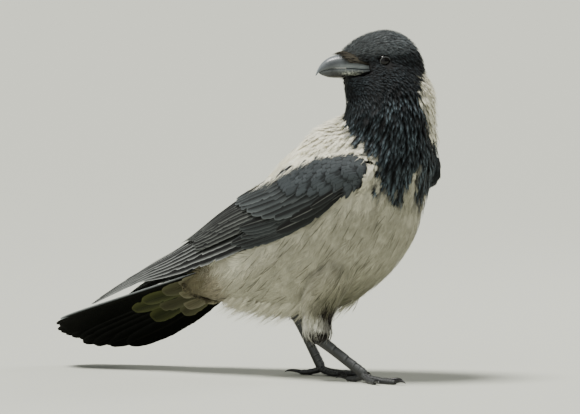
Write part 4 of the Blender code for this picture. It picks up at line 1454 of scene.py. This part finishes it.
def bill_half(name, table, upper, node):
    """Half of the bill, closed, with a cutting edge, a groove behind the nostril and a worn tip."""
    rings, steps, floor_steps = 72, 28, 9
    low, high = table[0][0] - 1.0, table[-1][0]
    f = low + (high - low) * np.linspace(0, 1, rings)[:, None] ** 0.9
    angle = np.linspace(0, math.pi, steps + 1)[None, :]
    off_edge = np.minimum(angle, math.pi - angle)
    points = bill_at(table, upper, f + 0 * angle, angle + 0 * f)
    share = clamp((f - low) / (high - low))
    near_edge = np.exp(-(off_edge / 0.22) ** 2)
    points[..., 1] *= 1 - 0.05 * near_edge * clamp(1 - share) * (1 if upper else -0.4)
    ripple = 0.05 * np.sin(f * 2.3 + 2 * np.sin(angle * 3)) * clamp(1 - share * 1.2)
    points[..., 2] += ripple * np.sin(angle) * (1 if upper else -1)
    across = np.linspace(-1, 1, floor_steps + 2)[1:-1][None, :]
    left, right = points[:, :1], points[:, -1:]
    under = right + (left - right) * ((across[..., None] + 1) / 2)
    under[..., 2] += (0.25 if upper else -0.8) * (1 - across**2) * (1 - 0.7 * share)
    ring = np.concatenate([points, under], 1)

    def off_floor(values):
        """The values round the outside, and 0 on the floor between the edges."""
        return np.concatenate([values + 0 * f, np.zeros((rings, floor_steps))], 1)

    dark = linear(30, 33, 35) if upper else linear(17, 18, 19)
    # Paler where light is painted: a painted shine along the cutting edges, strongest towards the gape, and
    # painted light along the upper half's top; paler towards the tip with wear.
    wet = off_floor(near_edge) * np.interp(f, (14, 38, 46), (0.9, 0.6, 0.25))
    lit = off_floor(np.sin(angle) ** 1.5 * (0.8 if upper else 0.0))
    pale = clamp(wet + 0.25 * clamp((share - 0.75) * 3) + lit)[..., None]
    colours = blend(dark, linear(138, 145, 149), pale)
    if not upper:
        crust = speckle(ring, 0.9) * 0.6 + speckle(ring, 0.45) * 0.4
        worn = np.interp(f, (15, 26, 36, 42), (0.75, 0.7, 0.45, 0.0))
        worn = worn * off_floor(np.exp(-((off_edge - 0.45) / 0.4) ** 2))
        flake = (clamp((crust - 0.66 + 0.4 * worn) * 5) * clamp(worn * 3))[..., None]
        colours = blend(colours, linear(176, 180, 166), flake)
    colours = np.concatenate([colours.reshape(-1, 3), np.tile(dark, (2, 1))])
    spin = np.concatenate([np.linspace(0, 0.7, steps + 1), np.linspace(0.74, 0.98, floor_steps)])
    spin = spin[None, :] + 0 * f
    uv = np.concatenate([np.stack([share + 0 * spin, spin], -1).reshape(-1, 2), [(0, 0.5), (1, 0.5)]])
    sides = ring.shape[1]
    fans = np.concatenate(end_fans(rings, sides, rings * sides, rings * sides + 1))
    all_points = from_head(np.concatenate([ring.reshape(-1, 3), [ring[0].mean(0), ring[-1].mean(0)]]))
    faces = [grid_faces(rings, sides, closed=True), fans]
    dress(new_object(name, all_points, faces, colours, None, 0.01 + 0.98 * uv, HORN), "bill_horn", node)


def on_the_bill(name, finish, p, up, lengths, bake, colour, shade, height, arch, width, width_at, taper):
    """Loose feathers on the bill, from their stations in the head's frame.

    up is the height of the head's axis over the bill's middle, shade the share of the colour at the root and
    what the tip adds to it, and arch how far a feather's middle rises over its ends.
    """
    way = unit(np.gradient(p, axis=1))
    normal = p * np.array((0.0, 1.0, 1.0)) + np.array((0.0, 0.0, up))
    normal = unit(normal - (normal * way).sum(-1, keepdims=True) * way)
    paths = [from_head(p), normal @ HEAD_TURN.T, way @ HEAD_TURN.T]

    def colour_at(s, _):
        """Darkest at the root."""
        return colour * (shade[0] + shade[1] * s[..., None])

    def rise(s):
        """Arched over the bill."""
        return height + arch * np.sin(clamp(s) * 2.6)

    widths = np.full(len(p), width)
    built = barbed(paths, lengths, widths, 5, colour_at, bake, rise, width_at, taper, reach=0.4, frizz=0.1)
    coat_piece(name, [built], finish, "black_plumage")


def both_sides(low, high, count):
    """Random angles over the bill, half of them on its left and half on its right."""
    return np.concatenate([RNG.uniform(low, high, count // 2), math.pi - RNG.uniform(low, high, count // 2)])


def bristles():
    """Stiff hair-like feathers that lie forwards over the bill's base and hide the nostrils."""
    count = 1100
    angle = both_sides(0.24, 1.45, count)
    start = RNG.uniform(11.0, 27.5, count)
    lengths = RNG.uniform(8.0, 12.5, count)
    front = np.interp(np.minimum(angle, math.pi - angle), (0.2, 0.5, 1.1, 1.42), (30.0, 34.5, 38.5, 37.0))
    lengths = np.clip(np.minimum(lengths, front + RNG.normal(0, 0.6, count) - start), 3.0, None)
    bend = RNG.normal(-0.05, 0.07, count)
    stations = []
    for share in (0.0, 0.25, 0.5, 0.75, 1.0):
        bent = np.clip(angle + bend * share * np.sign(angle - math.pi / 2), 0.05, math.pi - 0.05)
        stations.append(bill_at(BILL_UPPER, True, start + lengths * share, bent, 0.5))
    tone = RNG.uniform(0.15, 1.7, (count, 1, 1)) * np.interp(start, (12, 18), (0.5, 1.0))[:, None, None]
    on_the_bill(
        "nasal_bristles", SILKY, np.stack(stations, 1), 3.0, lengths, spread(np.stack([angle, start], -1)),
        colour=linear(74, 70, 61) * tone, shade=(0.45, 0.75), height=RNG.uniform(0.1, 1.1, (count, 1)),
        arch=1.1, width=0.5, width_at=0.3, taper=1.2,
    )


def chin_feathers():
    """Short black feathers that lie forwards over the lower bill's base, back to the corner of the gape."""
    count = 700
    angle = both_sides(0.16, 1.5, count)
    off_edge = np.minimum(angle, math.pi - angle)
    front = np.interp(off_edge, (0.12, 0.4, 0.8, 1.2, 1.5), (16.0, 20.0, 28.0, 35.0, 37.5))
    front = front + RNG.normal(0, 0.7, count)
    lengths = RNG.uniform(5.0, 8.5, count)
    start = np.maximum(front - lengths - RNG.uniform(0, 1, count) ** 1.4 * (front - 14.0), 12.5)
    lengths = np.clip(front - start, 2.5, lengths)
    stations = [bill_at(BILL_LOWER, False, start + lengths * k / 3, angle, 0.15) for k in range(4)]
    tone = RNG.uniform(0.5, 1.5, (count, 1, 1))
    on_the_bill(
        "chin_feathers", GLOSSY, np.stack(stations, 1), 5.0, lengths, spread(np.stack([angle, start], -1)),
        colour=linear(24, 24, 24) * tone, shade=(0.5, 0.6), height=RNG.uniform(0.1, 0.6, (count, 1)),
        arch=0.5, width=0.6, width_at=0.35, taper=1.3,
    )


def eye_material():
    """A dark brown iris round a black pupil, under a wet clear coat."""
    n = Nodes("eye", 0.16, 0.2)
    n.point_colour(n.grey(n.ramp(n.noise(900.0, 3.0), 0.3, 0.7, 0.7, 1.3)))
    n.set("Coat Weight", 0.2)
    n.set("Coat Roughness", 0.03)
    return n.material


def lid_material():
    """Bare grey skin with fine wrinkles."""
    n = Nodes("eyelid", 0.7, 0.25)
    n.set("Base Color", (*linear(82, 84, 84), 1))
    n.bump(n.cracks(2600.0), 0.6, 0.00015)
    return n.material


EYE_FINISH, LID_FINISH = eye_material(), lid_material()
EYE_OPEN = 4.35


def circle(count):
    """Angles round a circle."""
    return np.linspace(0, 2 * math.pi, count, endpoint=False)


def eyeball(side, sign, centre):
    """The ball with a domed cornea: pupil, iris and a darker rim."""
    rings, turns = 40, 48
    polar = np.linspace(0, math.pi, rings)[:, None]
    spin = circle(turns)[None, :]
    radius = EYE_RADIUS + 0.35 * np.exp(-((polar / 0.42) ** 2))
    out, ahead = radius * np.sin(polar), radius * np.cos(polar) * sign + 0 * spin
    ball = np.stack([out * np.cos(spin), ahead, out * np.sin(spin)], -1)
    off = EYE_RADIUS * np.sin(polar) + 0 * spin
    pupil = clamp((off - 1.9) / 0.25)[..., None]
    limbus = clamp((off - 3.7) / 0.5)[..., None]
    iris = linear(15, 11, 9) * pupil * (1 - limbus)
    colours = linear(5, 5, 5) * (1 - pupil) + iris + linear(10, 8, 7) * pupil * limbus
    far = 0.48 * polar / math.pi
    uv = np.stack([0.5 + far * np.cos(spin), 0.5 + far * np.sin(spin)], -1).reshape(-1, 2)
    points, faces = from_head(ball + centre).reshape(-1, 3), [grid_faces(rings, turns, closed=True)]
    ball = new_object(f"eye_{side}_ball", points, faces, colours.reshape(-1, 3), None, uv, EYE_FINISH)
    dress(ball, "eye_glass", f"eye_{side}")


def eyelids(side, sign, centre):
    """The two lids as a wrinkled ring round the eye's opening."""
    turns, sides = 96, 14
    around, small = circle(turns)[:, None], circle(sides)[None, :]
    opening = EYE_OPEN * (1 + 0.06 * np.cos(2 * around)) - 0.18 * np.sin(around)
    thick = 0.38 + 0.08 * np.sin(around) + 0.04 * np.sin(around * 24)
    out = opening + thick * np.cos(small) * 0.95
    depth = np.sqrt(EYE_RADIUS**2 - opening**2) + 0.25 + thick * np.sin(small) * 0.85 - 0.10 * (out - opening)
    lids = np.stack([out * np.cos(around), sign * depth, out * np.sin(around)], -1)
    uv = np.stack([around / (2 * math.pi) + 0 * small, small / (2 * math.pi) + 0 * around], -1) * 0.98
    k = np.arange(sides)
    ahead, last = (k + 1) % sides, (turns - 1) * sides
    faces = [grid_faces(turns, sides, closed=True), np.stack([last + k, last + ahead, ahead, k], -1)]
    points = from_head(lids + centre).reshape(-1, 3)
    lids = new_object(f"eye_{side}_lids", points, faces, None, None, uv.reshape(-1, 2), LID_FINISH)
    dress(lids, "leg_scales")


def eye(side):
    """An eye: the ball and its lids."""
    sign = 1 if side == "left" else -1
    centre = EYE_AT * (1, sign, 1)
    eyeball(side, sign, centre)
    eyelids(side, sign, centre)


bill_half("bill_upper_horn", BILL_UPPER, True, "bill_upper")
bill_half("bill_lower_horn", BILL_LOWER, False, "bill_lower")
bristles()
chin_feathers()
for eye_side in ("left", "right"):
    eye(eye_side)


# ---------------------------------------------------------------- legs
def scale_material():
    """Horny scales: the points' colours, whose pale rims are painted highlights and whose seams are dark, over
    fine grain.
    """
    n = Nodes("scales", 0.42, 0.5)
    grain = n.noise(1500.0, 4.0)
    n.point_colour(n.grey(n.ramp(grain, 0.3, 0.7, 0.75, 1.25)))
    n.bump(n.math("MULTIPLY_ADD", n.cracks(1100.0), 0.6, grain), 0.35, 0.00012)
    return n.material


SCALES = scale_material()


def tube_map(share, spin):
    """A map along a tube and round it."""
    return np.stack([share + 0 * spin, spin / (2 * math.pi) + 0 * share], -1).reshape(-1, 2)


def scaled_tube(rows, flatten, plates, sides=28, per_plate=9, pads=0):
    """A limb with a row of overlapping plates down its upper side, small scales behind and pads below."""
    count = plates * per_plate + 1
    fine = curve_rows(rows, count)
    centre, radius = fine[:, :3], fine[:, 3]
    along = unit(np.gradient(centre, axis=0))
    side = unit(np.cross(along, (0, 0, 1.0)))
    up = np.cross(side, along)
    spin = circle(sides)[None, :]
    share = np.linspace(0, 1, count)[:, None]
    phase = (share * plates) % 1.0
    to_seam = np.abs(phase - 0.5) - 0.5
    top = clamp(np.sin(spin) * 1.6 + 0.25)
    plate = 0.085 * (phase**1.5) - 0.05 * np.exp(-(to_seam / 0.05) ** 2)
    small = 0.02 * np.sin(share * plates * 2 * math.pi * 2.5) * np.sin(spin * 7) * (1 - top)
    cushion = 0.06 * np.abs(np.sin(share * math.pi * pads)) * clamp(-np.sin(spin))
    grow = 1 + plate * top + small + cushion - 0.03
    offset = side[:, None] * (np.cos(spin) * flatten)[..., None] + up[:, None] * np.sin(spin)[..., None]
    points = centre[:, None] + offset * (radius[:, None] * grow)[..., None]
    rim = np.exp(-((phase - 0.93) / 0.06) ** 2) * top
    seam = np.exp(-(to_seam / 0.035) ** 2) * top
    base = linear(22, 22, 23)
    # Painted light: the upper side paler as lit from above, and each plate's rim paler still as a painted
    # highlight.
    colours = blend(base, linear(124, 127, 128), clamp(rim * 0.5 + top * 0.36)[..., None])
    colours = blend(colours, linear(8, 8, 8), seam[..., None])
    ends = [centre[0], centre[-1] + along[-1] * radius[-1] * 0.45]
    fans = np.concatenate(end_fans(count, sides, count * sides, count * sides + 1))
    return (
        np.concatenate([points.reshape(-1, 3), ends]),
        [grid_faces(count, sides, closed=True)[:, ::-1], fans],
        np.concatenate([colours.reshape(-1, 3), np.tile(base, (2, 1))]),
        np.concatenate([tube_map(share, spin), [(0.0, 0.5), (1.0, 0.5)]]),
    )


# A tarsus: a share of the way down it, and its radius. A toe: a share of its length, its lift and how thick.
TARSUS = ((-0.1, 3.4), (0.0, 5.9), (0.1, 5.5), (0.3, 4.9), (0.7, 4.7), (0.9, 4.8), (1.0, 4.6), (1.05, 2.8))
TOE = (
    (0, 4.6, 1.2), (0.16, 2.6, 1.08), (0.4, 1.2, 0.98), (0.52, 0.6, 1.08), (0.66, 0.2, 0.92), (0.8, 0.1, 0.98),
    (1, 0.2, 0.7),
)
# The least height of a toe's or claw's points.
OVER_FLOOR = 0.02


def toe_way(side, bearing):
    """The way that a toe points."""
    inwards = 1 if side == "right" else -1
    angle = math.radians(FOOT_BEARING[side] + inwards * bearing)
    return np.array((math.cos(angle), math.sin(angle), 0))


def leg(side):
    """A tarsus under big plates, four toes under small ones with pads beneath, and their claws."""
    heel, foot = HEELS[side], FEET[side]
    parts = [scaled_tube([(*(heel + (foot - heel) * share), radius) for share, radius in TARSUS], 0.74, 11)]
    for _, bearing, length, _ in TOES:
        ahead = toe_way(side, bearing)
        rows = []
        for share, lift, swell in TOE:
            at = np.array((*foot[:2], 0)) + ahead * length * share
            rows.append((at[0], at[1], TOE_LIFT + lift + 0.25, TOE_RADIUS * swell))
        parts.append(scaled_tube(rows, 0.95, int(length / 2.6), sides=20, per_plate=5, pads=3))
    points, faces, colours, uv = joined(parts)
    points[:, 2] = np.maximum(points[:, 2], OVER_FLOOR)
    owner = np.repeat(np.arange(len(parts)), [len(part[0]) for part in parts])
    uv[:, 1] = (owner + 0.02 + 0.96 * uv[:, 1]) / len(parts)
    scales = new_object(f"leg_{side}_scales", points, faces, colours, None, uv, SCALES)
    dress(scales, "leg_scales", f"tarsus_{side}", f"foot_{side}")
    for toe in TOES:
        claw(side, *toe)


def claw(side, name, bearing, length, size):
    """A curved claw with a keel above and a groove below."""
    ahead = toe_way(side, bearing)
    across = np.array((-ahead[1], ahead[0], 0))
    start = np.array((*FEET[side][:2], TOE_LIFT + 0.2)) + ahead * (length - 1.0)
    rings, sides = 26, 18
    share = np.linspace(0, 1, rings)[:, None]
    spin = circle(sides)[None, :]
    reach = (size + 2.2) * np.sin(share * 1.35)
    height = 0.4 + 1.9 * np.sin(math.pi * share * 0.72) - 2.3 * share**2.2
    keel = np.exp(-((spin - math.pi / 2) / 0.4) ** 2)
    groove = np.exp(-((spin - 1.5 * math.pi) / 0.45) ** 2)
    radius = (1.75 * (1 - share) ** 0.75 + 0.12) * (1 + 0.12 * keel - 0.18 * groove)
    p = start + reach[..., None] * ahead + (radius * 0.78 * np.cos(spin))[..., None] * across
    p = p + np.array((0, 0, 1.0)) * (height + radius * np.sin(spin))[..., None]
    p = p.reshape(-1, 3)
    p[:, 2] = np.maximum(p[:, 2], OVER_FLOOR)
    p = np.concatenate([p, p[-sides:].mean(0, keepdims=True), p[:sides].mean(0, keepdims=True)])
    pale = clamp((share - 0.6) * 1.5)[..., None] + 0 * spin[..., None]
    colours = blend(linear(22, 22, 23), linear(74, 74, 74), 0.5 * pale).reshape(-1, 3)
    colours = np.concatenate([colours, colours[-1:], colours[:1]])
    uv = 0.01 + 0.98 * np.concatenate([tube_map(share, spin), [(1.0, 0.5), (0.0, 0.5)]])
    root, tip = end_fans(rings, sides, rings * sides + 1, rings * sides)
    faces = [grid_faces(rings, sides, closed=True)[:, ::-1], np.concatenate([tip, root])]
    horn = new_object(f"claw_{side}_{name}_horn", p, faces, colours, None, uv, HORN)
    dress(horn, "claw_horn", f"claw_{side}_{name}")


for leg_side in ("left", "right"):
    leg(leg_side)


# Where a wing is within this reach, the skin lies this much deeper and is painted dark, as the wing's shade.
UNDER_WING_REACH = 14.0
UNDER_WING_DEPTH = 2.5


def skin():
    """One skin in place of the flesh, inside it by the coat's depth, and deeper under the wings, where it is
    painted dark as their shade.
    """
    points, tris = welded(*remeshed("skin_form", *node_mesh(FLESH, 0.9), 2.2, 6))
    normals = vertex_normals(points, tris)
    shade_under_wing = wing_beyond(points, normals, 0.0, UNDER_WING_REACH)[:, None]
    points = points - normals * (coat_depth(points)[:, None] + UNDER_WING_DEPTH * shade_under_wing)
    local = to_head(points)
    beside_bill = (local[:, 0] > 10) & (local[:, 2] > -12.5) & (local[:, 2] < 8)
    inside = np.interp(local[:, 0], (10, 15, 30), (20.0, 8.6, 7.0))
    local[:, 1] = np.where(beside_bill, np.clip(local[:, 1], -inside, inside), local[:, 1])
    points = from_head(local)
    # Painted shade: dark where a wing lies over the skin.
    colours = np.where(shade_under_wing, linear(38, 41, 43), plumage(points, 0.0)[0]) * 0.8
    n = Nodes("skin", 0.9)
    n.point_colour((0.78, 0.78, 0.78, 1))
    n.bump(n.noise(500.0, 4.0), 0.4, 0.0005)
    whole = new_object("skin", points, [tris], colours, None, spread(unwrap(points)), n.material)
    dress(whole, "grey_plumage", *FLESH)


skin()


# ---------------------------------------------------------------- stage
AZIMUTH, ELEVATION = math.radians(29.0), math.radians(3.0)
AWAY = np.array((-math.sin(AZIMUTH), math.cos(AZIMUTH), 0))
ACROSS = np.array((math.cos(AZIMUTH), math.sin(AZIMUTH), 0))
UP = np.array((0, 0, 1.0))
MIDDLE = to_row((0, 0, 150))
CAMERA_DISTANCE = 4.5
FIELD_WIDTH = 0.522


def add_floor():
    """A wide pale floor."""
    far = 60000.0
    corners = np.array(((-far, -far, 0), (far, -far, 0), (far, far, 0), (-far, far, 0)))
    n = Nodes("floor", 0.9)
    n.set("Base Color", (0.66, 0.68, 0.60, 1))
    new_object("floor", corners, [np.array([[0, 1, 2, 3]])], finish=n.material)


def add_camera():
    """The camera, far off at the crow's right front and a little over it."""
    camera = bpy.data.objects.new("camera", bpy.data.cameras.new("camera"))
    bpy.context.scene.collection.objects.link(camera)
    back = -AWAY * math.cos(ELEVATION) + np.array((0, 0, math.sin(ELEVATION)))
    camera.location = Vector(MIDDLE + back * CAMERA_DISTANCE)
    camera.rotation_euler = (math.radians(90) - ELEVATION, 0, AZIMUTH)
    camera.data.lens = 36 * CAMERA_DISTANCE / FIELD_WIDTH
    camera.data.shift_x = -55 / 580
    camera.data.shift_y = 5.6 / 580
    camera.data.clip_end = 200
    bpy.context.scene.camera = camera


def add_light(name, kind, offset, size, power, colour):
    """A light at an offset from the crow's middle that points at it."""
    light = bpy.data.objects.new(name, bpy.data.lights.new(name, kind))
    bpy.context.scene.collection.objects.link(light)
    setattr(light.data, "angle" if kind == "SUN" else "size", size)
    light.data.energy = power
    light.data.color = colour
    light.location = Vector(MIDDLE + offset)
    light.rotation_euler = (-Vector(offset)).to_track_quat("-Z", "Y").to_euler()


def add_sky():
    """Even pale light from all round."""
    world = bpy.data.worlds.new("studio")
    bpy.context.scene.world = world
    world.use_nodes = True
    sky = world.node_tree.nodes["Background"]
    sky.inputs["Color"].default_value = (0.88, 0.90, 0.86, 1)
    sky.inputs["Strength"].default_value = 0.24


add_floor()
add_camera()
add_light("key", "SUN", AWAY * -0.25 + ACROSS * -0.6 + UP * 2.0, math.radians(20.0), 4.75, (1.0, 0.98, 0.94))
add_light("rim", "AREA", AWAY * 0.9 + ACROSS * 1.6 + UP * 1.1, 0.8, 12.0, (1.0, 0.98, 0.94))
add_light("fill", "AREA", AWAY * -2.0 + ACROSS * -0.7 + UP, 2.0, 9.0, (0.96, 0.98, 1.0))
add_sky()
